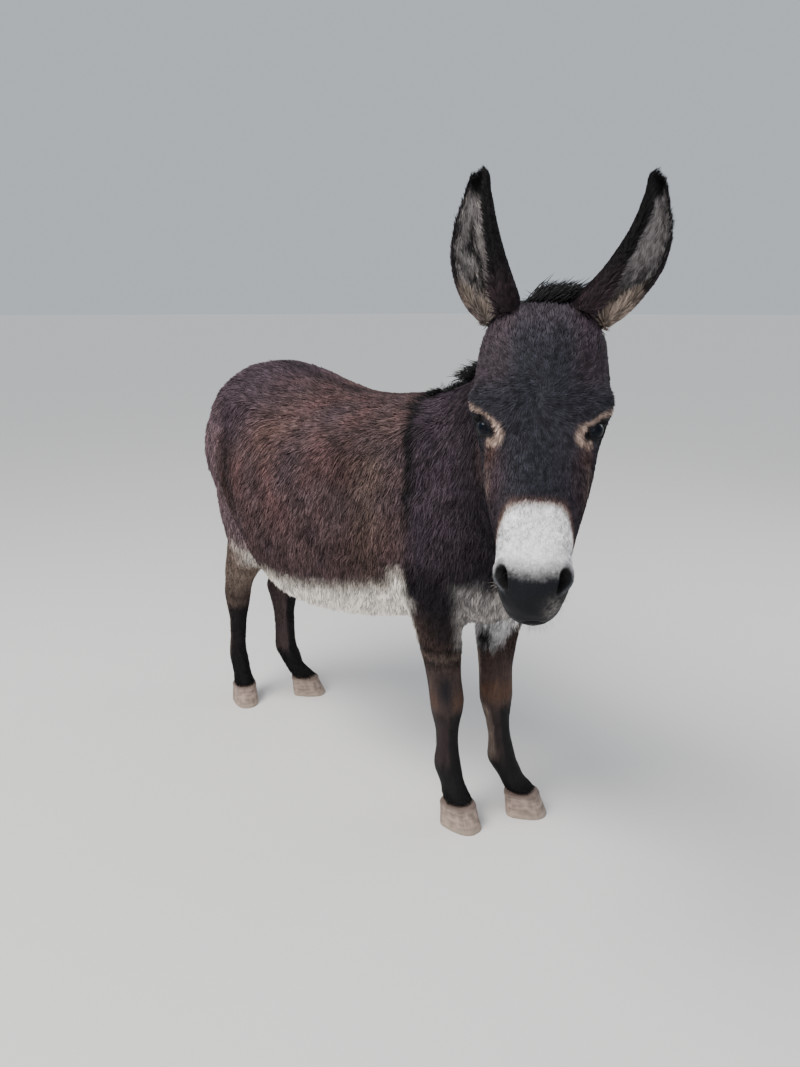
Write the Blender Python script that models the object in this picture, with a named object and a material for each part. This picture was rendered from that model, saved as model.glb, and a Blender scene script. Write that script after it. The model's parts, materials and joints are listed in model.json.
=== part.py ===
"""A small dark brown donkey, life size, as a still museum model.

The trunk faces -Y, +Z is up and +X is the donkey's left. The neck and head are turned to its right.
The body is built whole, from lofts of closed rings and a few swellings, which are fused and smoothed.
Thin cuts then part it into head, neck, trunk and legs. Ears, eyes, hooves, mane and tail are made
on their own and fitted to it. The origin is the middle of the model's box, at floor level.
"""

import math

import bmesh
import bpy
import numpy as np
from mathutils import Matrix, Vector

# ---- Driving sizes, in metres and degrees ----------------------------------------------------------
HEAD_TURN = 52.6  # of the face, from straight ahead towards the donkey's right
HEAD_DROP = 52.0  # of the nose line, below the horizon
POLL = Vector((-0.246, -0.639, 1.162))  # the top of the head, between the ears
EAR_LENGTH = 0.246
EAR_WALL = 0.006
EAR_STALK = 0.25  # share of its length over which an ear takes its width
EYE_RADIUS = 0.0195
SOLE_HEIGHT = 0.056  # of the coronet, where hair meets hoof
VOXEL = 0.0085  # of the grid on which the lofts are fused
BODY_TRIANGLES = 5020
GAP = 0.0005  # between pieces that meet

RIGHT, LEFT = -1, 1

# ---- Shape tables ----------------------------------------------------------------------------------
# Trunk: place along the back, top, underside, half width, widest height as a share of the depth.
TRUNK = {
    "breast": (-0.458, 0.780, 0.620, 0.070, 0.50),
    "shoulder point": (-0.430, 0.870, 0.545, 0.120, 0.45),
    "neck root": (-0.350, 0.940, 0.500, 0.148, 0.45),
    "elbow": (-0.250, 0.968, 0.485, 0.170, 0.45),
    "withers": (-0.150, 0.974, 0.466, 0.190, 0.44),
    "saddle": (-0.030, 0.963, 0.436, 0.222, 0.42),
    "mid barrel": (0.100, 0.964, 0.419, 0.246, 0.42),
    "belly": (0.220, 0.984, 0.422, 0.250, 0.45),
    "flank": (0.330, 1.010, 0.472, 0.228, 0.52),
    "croup": (0.420, 1.019, 0.540, 0.206, 0.56),
    "hip": (0.490, 0.995, 0.620, 0.176, 0.60),
    "tail head": (0.543, 0.945, 0.700, 0.120, 0.62),
    "buttock": (0.576, 0.880, 0.770, 0.060, 0.60),
}
# Neck: centre, half width, reach up to the crest and down to the gullet.
NECK = {
    "root": ((0.000, -0.200, 0.800), 0.125, 0.170, 0.215),
    "shoulder": ((-0.012, -0.320, 0.850), 0.112, 0.160, 0.205),
    "middle": ((-0.060, -0.440, 0.925), 0.094, 0.142, 0.172),
    "upper": ((-0.125, -0.530, 1.000), 0.082, 0.122, 0.140),
    "throat": ((-0.183, -0.590, 1.058), 0.076, 0.100, 0.116),
    "skull": ((-0.235, -0.630, 1.090), 0.066, 0.070, 0.085),
}
# Head: distance from the poll, height of nose line and of jaw line, half width, how much wider on top.
HEAD = {
    "nape": (-0.030, -0.040, -0.110, 0.050, 0.00),
    "poll": (0.000, -0.010, -0.148, 0.080, 0.05),
    "crown": (0.045, 0.004, -0.180, 0.094, 0.08),
    "forehead": (0.095, 0.008, -0.203, 0.098, 0.12),
    "brow": (0.145, 0.007, -0.214, 0.100, 0.18),
    "eye": (0.190, 0.002, -0.207, 0.093, 0.20),
    "under eye": (0.235, -0.003, -0.186, 0.082, 0.10),
    "cheek end": (0.285, -0.005, -0.160, 0.073, 0.02),
    "nose": (0.335, -0.004, -0.136, 0.062, 0.00),
    "muzzle": (0.380, -0.003, -0.121, 0.0535, 0.00),
    "nostrils": (0.420, -0.006, -0.120, 0.0515, -0.02),
    "upper lip": (0.450, -0.019, -0.117, 0.042, -0.02),
    "lips": (0.470, -0.041, -0.106, 0.031, 0.00),
    "front": (0.479, -0.058, -0.090, 0.016, 0.00),
}
# Leg sections: height, reach ahead of the leg's line and behind it, half width.
FORELEG = {
    "shoulder": (0.800, 0.115, 0.120, 0.058),
    "upper arm": (0.680, 0.120, 0.125, 0.060),
    "arm": (0.590, 0.098, 0.096, 0.058),
    "elbow": (0.515, 0.070, 0.064, 0.047),
    "forearm": (0.430, 0.051, 0.047, 0.041),
    "above knee": (0.350, 0.040, 0.038, 0.038),
    "knee": (0.300, 0.043, 0.036, 0.040),
    "below knee": (0.262, 0.036, 0.036, 0.035),
    "cannon top": (0.225, 0.027, 0.030, 0.0265),
    "cannon": (0.180, 0.026, 0.030, 0.0250),
    "fetlock top": (0.145, 0.029, 0.038, 0.0275),
    "fetlock": (0.122, 0.031, 0.042, 0.0300),
    "pastern": (0.088, 0.029, 0.033, 0.0275),
    "coronet": (SOLE_HEIGHT, 0.042, 0.038, 0.0355),
}
HINDLEG = {
    "hip": (0.900, 0.130, 0.110, 0.070),
    "haunch": (0.800, 0.155, 0.118, 0.084),
    "thigh": (0.700, 0.160, 0.108, 0.080),
    "stifle": (0.600, 0.150, 0.090, 0.068),
    "gaskin top": (0.530, 0.132, 0.070, 0.055),
    "gaskin": (0.470, 0.112, 0.058, 0.047),
    "hamstring": (0.420, 0.088, 0.056, 0.041),
    "hock point": (0.382, 0.066, 0.056, 0.037),
    "hock": (0.345, 0.050, 0.052, 0.038),
    "below hock": (0.305, 0.040, 0.042, 0.033),
    "cannon top": (0.260, 0.031, 0.036, 0.0250),
    "cannon": (0.195, 0.029, 0.036, 0.0225),
    "fetlock top": (0.152, 0.030, 0.040, 0.0250),
    "fetlock": (0.128, 0.032, 0.042, 0.0275),
    "pastern": (0.090, 0.028, 0.033, 0.0255),
    "coronet": (SOLE_HEIGHT, 0.040, 0.038, 0.0330),
}
# Where each leg's line runs: height, distance from the midline, place along the back.
LEG_LINES = {
    ("fore", RIGHT): (
        (0.800, 0.105, -0.255),
        (0.590, 0.110, -0.268),
        (0.430, 0.071, -0.263),
        (0.290, 0.049, -0.264),
        (0.125, 0.047, -0.272),
        (0.088, 0.049, -0.290),
        (SOLE_HEIGHT, 0.053, -0.309),
    ),
    ("fore", LEFT): (
        (0.800, 0.105, -0.255),
        (0.590, 0.108, -0.285),
        (0.430, 0.074, -0.300),
        (0.290, 0.062, -0.312),
        (0.125, 0.072, -0.338),
        (0.088, 0.079, -0.360),
        (SOLE_HEIGHT, 0.089, -0.379),
    ),
    ("hind", RIGHT): (
        (0.900, 0.080, 0.410),
        (0.700, 0.108, 0.420),
        (0.530, 0.090, 0.468),
        (0.420, 0.084, 0.540),
        (0.345, 0.076, 0.571),
        (0.260, 0.077, 0.574),
        (0.152, 0.080, 0.582),
        (0.090, 0.080, 0.565),
        (SOLE_HEIGHT, 0.081, 0.553),
    ),
    ("hind", LEFT): (
        (0.900, 0.080, 0.410),
        (0.700, 0.108, 0.418),
        (0.530, 0.088, 0.455),
        (0.420, 0.074, 0.505),
        (0.345, 0.058, 0.530),
        (0.260, 0.056, 0.524),
        (0.152, 0.055, 0.518),
        (0.090, 0.066, 0.494),
        (SOLE_HEIGHT, 0.083, 0.470),
    ),
}
# How far each foot points outwards, in degrees.
TOE_OUT = {("fore", RIGHT): 2, ("fore", LEFT): 28, ("hind", RIGHT): 22, ("hind", LEFT): 34}

# Swellings on the head, mirrored: distance from the poll, from the midline, from the nose line, radii.
HEAD_SWELLINGS = {
    "jaw muscle": ((0.165, 0.054, -0.130), (0.085, 0.034, 0.066)),
    "brow ridge": ((0.158, 0.086, -0.024), (0.032, 0.021, 0.020)),
    "outer lid": ((0.196, 0.078, -0.050), (0.032, 0.016, 0.024)),
    "eye arch": ((0.158, 0.069, -0.078), (0.044, 0.026, 0.024)),
    "cheek rim": ((0.222, 0.064, -0.062), (0.020, 0.018, 0.020)),
    "face crest": ((0.245, 0.056, -0.062), (0.060, 0.015, 0.016)),
    "nostril wing": ((0.422, 0.035, -0.040), (0.030, 0.020, 0.028)),
    "ear root": ((0.012, 0.056, -0.036), (0.034, 0.026, 0.028)),
    "chin": ((0.432, 0.010, -0.112), (0.030, 0.024, 0.020)),
}
# Swellings on the body, mirrored: centre, radii.
BODY_SWELLINGS = {
    "breast muscle": ((0.060, -0.388, 0.640), (0.070, 0.080, 0.115)),
    "shoulder blade": ((0.106, -0.250, 0.780), (0.052, 0.100, 0.160)),
    "arm muscle": ((0.114, -0.220, 0.630), (0.052, 0.080, 0.085)),
    "hip point": ((0.140, 0.340, 0.890), (0.065, 0.095, 0.075)),
    "haunch": ((0.113, 0.446, 0.790), (0.082, 0.125, 0.150)),
}
EYE = (0.198, 0.0715, -0.0375)  # centre: from the poll, from the midline, from the nose line
NOSTRIL = ((0.432, 0.037, -0.042), (0.017, 0.0085, 0.013))
EAR_ROOT = (0.006, 0.064, -0.034)
# Ear: share of its length, radius of its curl, half angle of the curl in degrees.
EAR = {
    "root": (0.00, 0.0280, 150),
    "bowl": (0.12, 0.0385, 130),
    "belly": (0.30, 0.0440, 106),
    "middle": (0.50, 0.0440, 92),
    "upper": (0.70, 0.0375, 80),
    "shoulder": (0.85, 0.0285, 72),
    "point": (0.95, 0.0225, 66),
    "tip": (1.00, 0.0140, 62),
}
# Each ear's tip from its root, along the head's three directions, how far it opens to its side in degrees,
# its width as a share of the other's, and how far its middle bows outwards.
EARS = {
    RIGHT: ((-0.94, -0.22, 0.28), 32, 1.00, 0.027),
    LEFT: ((-0.87, 0.42, 0.28), 30, 0.85, 0.037),
}

COLOURS = {
    "coat": ((0.060, 0.033, 0.026), 0.85),
    "face": ((0.040, 0.026, 0.024), 0.80),
    "leg": ((0.055, 0.037, 0.032), 0.85),
    "mane": ((0.012, 0.010, 0.011), 0.75),
    "eye": ((0.008, 0.006, 0.005), 0.08),
    "hoof": ((0.300, 0.235, 0.200), 0.65),
}


# ---- Small helpers ---------------------------------------------------------------------------------
def clear_scene():
    for item in list(bpy.data.objects):
        bpy.data.objects.remove(item, do_unlink=True)


def material(name):
    found = bpy.data.materials.get(name)
    if found:
        return found
    colour, roughness = COLOURS[name]
    made = bpy.data.materials.new(name)
    made.use_nodes = True
    shader = made.node_tree.nodes["Principled BSDF"]
    shader.inputs["Base Color"].default_value = (*colour, 1)
    shader.inputs["Roughness"].default_value = roughness
    shader.inputs["Metallic"].default_value = 0
    made.diffuse_color = (*colour, 1)
    return made


def add_object(name, mesh):
    made = bpy.data.objects.new(name, mesh)
    bpy.context.scene.collection.objects.link(made)
    return made


def from_points(name, points, faces):
    mesh = bpy.data.meshes.new(name)
    mesh.from_pydata([tuple(p) for p in points], [], faces)
    work = bmesh.new()
    work.from_mesh(mesh)
    bmesh.ops.recalc_face_normals(work, faces=work.faces)
    work.to_mesh(mesh)
    work.free()
    return add_object(name, mesh)


def curve_through(rows, per_span):
    """Rows of numbers, filled in smoothly between the given ones by a Catmull-Rom curve."""
    rows = np.array(rows, float)
    padded = np.vstack([2 * rows[0] - rows[1], rows, 2 * rows[-1] - rows[-2]])
    filled = []
    for k in range(len(rows) - 1):
        a, b, c, d = padded[k : k + 4]
        for t in np.arange(per_span) / per_span:
            cubic = (-a + 3 * b - 3 * c + d) * t**3
            square = (2 * a - 5 * b + 4 * c - d) * t**2
            filled.append((cubic + square + (c - a) * t + 2 * b) / 2)
    return np.array(filled + [rows[-1]])


def ring(centre, side, rise, wide, up, down, taper=0.0, square=2.2, count=40):
    """A closed section round a centre. A positive taper widens its upper half."""
    angle = 2 * math.pi * np.arange(count) / count
    across = np.sign(np.cos(angle)) * np.abs(np.cos(angle)) ** (2 / square)
    tall = np.sign(np.sin(angle)) * np.abs(np.sin(angle)) ** (2 / square)
    x = wide * across * (1 + taper * tall)
    y = np.where(tall > 0, up, down) * tall
    return np.array(centre) + np.outer(x, np.array(side)) + np.outer(y, np.array(rise))


def loft(name, rings):
    """A closed solid through rings that all have the same number of points."""
    count = len(rings[0])
    faces = [list(range(count))[::-1]]
    for k in range(len(rings) - 1):
        for j in range(count):
            n = (j + 1) % count
            faces.append([k * count + j, k * count + n, (k + 1) * count + n, (k + 1) * count + j])
    faces.append([(len(rings) - 1) * count + j for j in range(count)])
    return from_points(name, np.vstack(rings), faces)


def ellipsoid(name, centre, radii, axes, rings=12, segments=20):
    mesh = bpy.data.meshes.new(name)
    work = bmesh.new()
    bmesh.ops.create_uvsphere(work, u_segments=segments, v_segments=rings, radius=1)
    turn = Matrix([[a[k] for a in axes] for k in range(3)]).to_4x4()
    bmesh.ops.transform(
        work,
        matrix=Matrix.Translation(centre) @ turn @ Matrix.Diagonal((*radii, 1)),
        verts=work.verts,
    )
    bmesh.ops.recalc_face_normals(work, faces=work.faces)
    work.to_mesh(mesh)
    work.free()
    return add_object(name, mesh)


def prism(name, outline, low, high, axes, origin):
    """A closed outline on the first two axes, drawn out along the third one."""
    points = [
        Vector(origin) + axes[0] * a + axes[1] * b + axes[2] * c for c in (low, high) for a, b in outline
    ]
    count = len(outline)
    faces = [list(range(count)), list(range(count, 2 * count))[::-1]]
    for k in range(count):
        n = (k + 1) % count
        faces.append([k, k + count, n + count, n])
    return from_points(name, points, faces)


def settled(item):
    """Applies every modifier of an object."""
    bpy.context.view_layer.update()
    graph = bpy.context.evaluated_depsgraph_get()
    mesh = bpy.data.meshes.new_from_object(item.evaluated_get(graph))
    item.modifiers.clear()
    item.data = mesh
    return item


def joined(name, items):
    work = bmesh.new()
    for item in items:
        work.from_mesh(item.data)
        bpy.data.objects.remove(item)
    mesh = bpy.data.meshes.new(name)
    work.to_mesh(mesh)
    work.free()
    return add_object(name, mesh)


def copy_of(item, name):
    return add_object(name, item.data.copy())


def boolean(item, cutter, operation):
    change = item.modifiers.new(operation.lower(), "BOOLEAN")
    change.operation = operation
    change.solver = "EXACT"
    change.object = cutter
    return settled(item)


def grown(item, name, distance):
    """A copy whose surface stands outside the original by a distance."""
    made = copy_of(item, name)
    push = made.modifiers.new("grow", "DISPLACE")
    push.strength = distance
    push.mid_level = 0
    return settled(made)


def finish(item, colour):
    item.data.materials.clear()
    item.data.materials.append(material(colour))
    item.data.shade_smooth()
    item.data.set_sharp_from_angle(angle=math.radians(50))
    return item


# ---- The head's own directions ---------------------------------------------------------------------
TURN, DROP = math.radians(HEAD_TURN), math.radians(HEAD_DROP)
FACING = Vector((-math.sin(TURN), -math.cos(TURN), 0))
UP = Vector((0, 0, 1))
NOSEWARD = FACING * math.cos(DROP) - UP * math.sin(DROP)
BROWWARD = FACING * math.sin(DROP) + UP * math.cos(DROP)
HEAD_LEFT = BROWWARD.cross(NOSEWARD)


def on_head(along, across, above):
    return POLL + NOSEWARD * along + HEAD_LEFT * across + BROWWARD * above


# ---- The body, whole -------------------------------------------------------------------------------
def trunk_loft():
    rings = []
    for y, top, base, half, waist in curve_through(list(TRUNK.values()), 3):
        middle = base + (top - base) * waist
        rings.append(ring((0, y, middle), (1, 0, 0), (0, 0, 1), half, top - middle, middle - base))
    return loft("trunk loft", rings)


def neck_rows():
    return curve_through([[*c, *sizes] for c, *sizes in NECK.values()], 4)


def neck_frames():
    """Centre, side, rise and sizes of every neck ring, square to the neck's own line."""
    rows = neck_rows()
    lines = np.gradient(rows[:, :3], axis=0)
    frames = []
    for row, line in zip(rows, lines):
        along = Vector(line).normalized()
        rise = (UP - along * UP.dot(along)).normalized()
        frames.append((Vector(row[:3]), along.cross(rise), rise, *row[3:]))
    return frames


def neck_loft():
    return loft(
        "neck loft",
        [ring(c, s, r, half, up, down, -0.22) for c, s, r, half, up, down in neck_frames()],
    )


def head_loft():
    rings = []
    for along, nose, jaw, half, taper in curve_through(list(HEAD.values()), 3):
        middle = jaw + (nose - jaw) * 0.62
        centre = on_head(along, 0, middle)
        rings.append(
            ring(centre, HEAD_LEFT, BROWWARD, half, nose - middle, middle - jaw, taper, 2.5)
        )
    return loft("head loft", rings)


def leg_rings(kind, side):
    """Sections down a leg, which turn outwards towards the foot."""
    table = FORELEG if kind == "fore" else HINDLEG
    line = np.array(LEG_LINES[kind, side])[::-1]
    rings = []
    for height, ahead, behind, half in curve_through(list(table.values()), 2):
        across = side * np.interp(height, line[:, 0], line[:, 1])
        along = np.interp(height, line[:, 0], line[:, 2])
        turn = math.radians(TOE_OUT[kind, side]) * side * min(1.0, max(0.0, (0.60 - height) / 0.25))
        forward = Vector((math.sin(turn), -math.cos(turn), 0))
        aside = Vector((math.cos(turn), math.sin(turn), 0))
        rings.append(((across, along, height), aside, forward, half, ahead, behind))
    return rings


def leg_loft(kind, side):
    return loft("leg loft", [ring(*sizes, count=24) for sizes in leg_rings(kind, side)])


def whole_body():
    """Lofts and swellings fused into one smooth closed surface."""
    pieces = [trunk_loft(), neck_loft(), head_loft()]
    pieces += [leg_loft(kind, side) for kind, side in LEG_LINES]
    level = ((1, 0, 0), (0, 1, 0), (0, 0, 1))
    for side in (RIGHT, LEFT):
        for (along, across, above), radii in HEAD_SWELLINGS.values():
            centre = on_head(along, side * across, above)
            pieces.append(ellipsoid("swelling", centre, radii, (NOSEWARD, HEAD_LEFT, BROWWARD)))
        for (x, y, z), radii in BODY_SWELLINGS.values():
            pieces.append(ellipsoid("swelling", (side * x, y, z), radii, level))
    body = joined("body", pieces)
    fuse = body.modifiers.new("fuse", "REMESH")
    fuse.mode = "VOXEL"
    fuse.voxel_size = VOXEL
    relax = body.modifiers.new("relax", "SMOOTH")
    relax.factor = 0.5
    relax.iterations = 12
    settled(body)
    thin = body.modifiers.new("thin", "DECIMATE")
    thin.ratio = BODY_TRIANGLES / (2 * len(body.data.polygons))
    return settled(body)


# ---- Pieces made on their own ----------------------------------------------------------------------
def eye_centre(side):
    along, across, above = EYE
    return on_head(along, side * across, above)


def make_eye(side, name):
    axes = ((1, 0, 0), (0, 1, 0), (0, 0, 1))
    return finish(ellipsoid(name, eye_centre(side), (EYE_RADIUS,) * 3, axes, 8, 12), "eye")


def ear_axes(side):
    (noseward, left, browward), look, _, _ = EARS[side]
    along = (NOSEWARD * noseward + HEAD_LEFT * left + BROWWARD * browward).normalized()
    turned = math.radians(look)
    opening = FACING * math.cos(turned) + HEAD_LEFT * (side * math.sin(turned))
    opening = (opening - along * opening.dot(along)).normalized()
    return along, opening, along.cross(opening)


def make_ear(side, name, body_shell):
    """A long curled leaf with a wall, open to the front, cut off where it meets the head."""
    along, opening, across = ear_axes(side)
    root = on_head(EAR_ROOT[0], side * EAR_ROOT[1], EAR_ROOT[2])
    _, _, width, bow = EARS[side]
    steps = 9
    points = []
    rows = curve_through(list(EAR.values()), 1)
    for share, radius, half_angle in rows:
        bend = HEAD_LEFT * (side * bow * math.sin(math.pi * share))
        radius *= 1 - (1 - width) * min(share / EAR_STALK, 1)
        middle = root + along * (share * EAR_LENGTH) + bend
        for k in range(steps):
            angle = math.radians(half_angle) * (2 * k / (steps - 1) - 1)
            points.append(middle + (across * math.sin(angle) - opening * math.cos(angle)) * radius)
    faces = []
    for r in range(len(rows) - 1):
        for k in range(steps - 1):
            a = r * steps + k
            faces.append([a, a + 1, a + steps + 1, a + steps])
    ear = from_points(name, points, faces)
    wall = ear.modifiers.new("wall", "SOLIDIFY")
    wall.thickness = EAR_WALL
    wall.offset = 0
    wall.use_even_offset = False
    settled(ear)
    return finish(boolean(ear, body_shell, "DIFFERENCE"), "face")


def make_hoof(kind, side, name):
    """The horn: a sloping wall from the coronet to a flat sole."""
    centre, aside, forward, half, ahead, behind = leg_rings(kind, side)[-1]
    toe = 0.023 if kind == "fore" else 0.027
    levels = (
        (SOLE_HEIGHT - GAP, 0.0, 0.0, 0.0),
        (SOLE_HEIGHT * 0.5, toe * 0.55, -0.004, 0.003),
        (0.004, toe, -0.006, 0.005),
        (0.0, toe - 0.003, -0.008, 0.002),
    )
    rings = []
    for height, reach, heel, wider in levels:
        middle = (centre[0], centre[1], height)
        rings.append(
            ring(middle, aside, forward, half + wider, ahead + reach, behind + heel, -0.10, 2.6, 18)
        )
    return finish(loft(name, rings), "hoof")


def crest_points():
    """The line along the top of the neck, from the withers to the forelock."""
    points = [c + r * up for c, s, r, half, up, down in neck_frames()]
    return points[5:-1]


def make_mane(body_shell):
    points = np.array([tuple(p) for p in crest_points()])
    lines = np.gradient(points, axis=0)
    count = len(points)
    rings = []
    for k, (point, line) in enumerate(zip(points, lines)):
        along = Vector(line).normalized()
        rise = (UP - along * UP.dot(along)).normalized()
        ends = math.sin(math.pi * min(1.0, 0.12 + 0.88 * min(k, count - 1 - k) / 4) / 2)
        rings.append(
            ring(point, along.cross(rise), rise, 0.016, 0.034 * ends, 0.030, -0.35, 2.0, 10)
        )
    return finish(boolean(loft("mane", rings), body_shell, "DIFFERENCE"), "mane")


def make_forelock(body_shell, ears):
    """The tuft between the ears, which falls to the left."""
    lean = (HEAD_LEFT * 0.96 - NOSEWARD * 0.28).normalized()
    rise = (BROWWARD - lean * BROWWARD.dot(lean)).normalized()
    centre = on_head(-0.022, 0.006, -0.010)
    tuft = ellipsoid("forelock", centre, (0.043, 0.024, 0.032), (lean, lean.cross(rise), rise), 8, 12)
    boolean(tuft, body_shell, "DIFFERENCE")
    for ear in ears:
        clear_of_ear = grown(ear, "clear", 0.001)
        boolean(tuft, clear_of_ear, "DIFFERENCE")
        bpy.data.objects.remove(clear_of_ear)
    return finish(tuft, "mane")


def tail_rings(rows, count=10):
    rows = curve_through(rows, 2)
    lines = np.gradient(rows[:, :3], axis=0)
    rings = []
    for row, line in zip(rows, lines):
        along = Vector(line).normalized()
        side = Vector((1, 0, 0))
        side = (side - along * side.dot(along)).normalized()
        rings.append(ring(row[:3], side, side.cross(along), *row[3:], count=count))
    return rings


def make_tail(body_shell):
    """The dock, covered in short hair. Columns: centre, half width, reach front and back."""
    rows = (
        (0.000, 0.500, 0.955, 0.030, 0.028, 0.028),
        (0.000, 0.590, 0.930, 0.029, 0.027, 0.027),
        (-0.003, 0.635, 0.850, 0.026, 0.023, 0.023),
        (-0.006, 0.645, 0.740, 0.021, 0.019, 0.019),
        (-0.008, 0.645, 0.620, 0.017, 0.015, 0.015),
        (-0.008, 0.642, 0.540, 0.014, 0.013, 0.013),
    )
    return finish(boolean(loft("tail", tail_rings(rows)), body_shell, "DIFFERENCE"), "coat")


def make_switch():
    """The tassel of long hair at the end of the tail."""
    rows = (
        (-0.008, 0.6415, 0.5390, 0.014, 0.013, 0.013),
        (-0.008, 0.641, 0.480, 0.025, 0.022, 0.022),
        (-0.008, 0.640, 0.400, 0.028, 0.025, 0.025),
        (-0.008, 0.640, 0.320, 0.019, 0.017, 0.017),
        (-0.008, 0.640, 0.270, 0.006, 0.006, 0.006),
    )
    return finish(loft("tail_switch", tail_rings(rows)), "mane")


# ---- Parting the body ------------------------------------------------------------------------------
def head_region(name, spare):
    """In front of the slanting cut from the poll to the throat."""
    lean = math.radians(40)
    forward = NOSEWARD * math.cos(lean) + BROWWARD * math.sin(lean)
    rise = BROWWARD * math.cos(lean) - NOSEWARD * math.sin(lean)
    outline = ((-spare, -0.50), (0.60, -0.50), (0.60, 0.20), (-spare, 0.20))
    axes = (forward, rise, HEAD_LEFT)
    return prism(name, outline, -0.25, 0.25, axes, on_head(-0.030, 0, -0.020))


def neck_region(name, spare):
    """In front of the slanting cut from the withers to the breast."""
    forward = Vector((-0.22, -0.72, 0.66)).normalized()
    rise = (UP - forward * UP.dot(forward)).normalized()
    outline = ((-spare, -0.34), (0.60, -0.34), (0.60, 0.34), (-spare, 0.34))
    axes = (forward, rise, forward.cross(rise))
    return prism(name, outline, -0.30, 0.30, axes, (-0.015, -0.345, 0.870))


def foreleg_region(name, side, spare):
    """Below the elbow."""
    top = 0.425 + spare
    outline = ((-0.48, -0.05), (-0.19, -0.05), (-0.19, top), (-0.48, top))
    low, high = sorted((side * (0.002 - spare), side * 0.30))
    return prism(name, outline, low, high, (Vector((0, 1, 0)), UP, Vector((1, 0, 0))), (0, 0, 0))


def hindleg_region(name, side, spare):
    """Below the slanting cut from the flank to the buttock."""
    front = 0.345 - spare
    outline = ((front, -0.05), (0.75, -0.05), (0.75, 0.68 + spare), (front, 0.465 + spare))
    low, high = sorted((side * (0.002 - spare), side * 0.30))
    return prism(name, outline, low, high, (Vector((0, 1, 0)), UP, Vector((1, 0, 0))), (0, 0, 0))


def part_body(body):
    """Cuts the whole body into its named pieces, a gap apart."""
    regions = {"head": (head_region, ()), "neck": (neck_region, ())}
    for side, word in ((RIGHT, "right"), (LEFT, "left")):
        regions[f"foreleg_{word}"] = (foreleg_region, (side,))
        regions[f"hindleg_{word}"] = (hindleg_region, (side,))
    trunk = copy_of(body, "trunk")
    pieces = {}
    for name, (region, where) in regions.items():
        piece = copy_of(body, name)
        inside = region("inside", *where, 0.0)
        boolean(piece, inside, "INTERSECT")
        bpy.data.objects.remove(inside)
        outside = region("outside", *where, GAP)
        boolean(trunk, outside, "DIFFERENCE")
        if name == "neck":
            clear_of_head = head_region("clear", GAP)
            boolean(piece, clear_of_head, "DIFFERENCE")
            bpy.data.objects.remove(clear_of_head)
        bpy.data.objects.remove(outside)
        pieces[name] = piece
    pieces["trunk"] = trunk
    for name, piece in pieces.items():
        finish(piece, "leg" if "leg" in name else "face" if name == "head" else "coat")
    return pieces


def hollow_head(head):
    """Sockets for the eyes, and nostrils."""
    level = ((1, 0, 0), (0, 1, 0), (0, 0, 1))
    for side in (RIGHT, LEFT):
        socket = ellipsoid("socket", eye_centre(side), (EYE_RADIUS + GAP,) * 3, level, 8, 12)
        boolean(head, socket, "DIFFERENCE")
        bpy.data.objects.remove(socket)
        outward = (HEAD_LEFT * (side * 0.66) + BROWWARD * 0.75).normalized()
        corner = (NOSEWARD - HEAD_LEFT * (side * 0.36)).normalized()
        corner = (corner - outward * corner.dot(outward)).normalized()
        lids = ellipsoid(
            "lids",
            eye_centre(side) + outward * 0.019,
            (0.0175, 0.0120, 0.016),
            (corner, outward.cross(corner), outward),
            8,
            12,
        )
        boolean(head, lids, "DIFFERENCE")
        bpy.data.objects.remove(lids)
        (along, across, above), radii = NOSTRIL
        lean = (NOSEWARD + HEAD_LEFT * (side * 0.35) + BROWWARD * 0.35).normalized()
        wide = (HEAD_LEFT - lean * HEAD_LEFT.dot(lean)).normalized()
        axes = (lean, wide, lean.cross(wide))
        hole = ellipsoid("hole", on_head(along, side * across, above), radii, axes, 8, 12)
        boolean(head, hole, "DIFFERENCE")
        bpy.data.objects.remove(hole)


def stand_on_origin():
    """Moves the finished model so that the middle of its box is over the origin."""
    bpy.context.view_layer.update()
    corners = np.array([p.co for o in bpy.data.objects for p in o.data.vertices])
    low, high = corners.min(0), corners.max(0)
    shift = Matrix.Translation((-(low[0] + high[0]) / 2, -(low[1] + high[1]) / 2, -low[2]))
    for item in bpy.data.objects:
        item.data.transform(shift)


def main():
    clear_scene()
    body = whole_body()
    shell = grown(body, "shell", 0.0012)
    ears = []
    for side, word in ((RIGHT, "right"), (LEFT, "left")):
        make_eye(side, f"eye_{word}")
        ears.append(make_ear(side, f"ear_{word}", shell))
        make_hoof("fore", side, f"hoof_fore_{word}")
        make_hoof("hind", side, f"hoof_hind_{word}")
    make_mane(shell)
    make_forelock(shell, ears)
    make_tail(shell)
    make_switch()
    bpy.data.objects.remove(shell)
    pieces = part_body(body)
    bpy.data.objects.remove(body)
    hollow_head(pieces["head"])
    finish(pieces["head"], "face")
    stand_on_origin()


main()
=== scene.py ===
# %% [markdown]
# # A small dark brown donkey
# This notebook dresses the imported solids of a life-size donkey: one skin over all the flesh, a coat of
# solid hair tufts, a mane and a tail tassel, wet dark eyes and horn hooves. Everything is in metres and
# in the frame of the solids: the trunk faces -Y, +Z is up and +X is the donkey's left.

import json
import math

import bmesh
import bpy
import numpy as np
from mathutils import Matrix, Vector, noise
from mathutils.bvhtree import BVHTree

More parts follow.
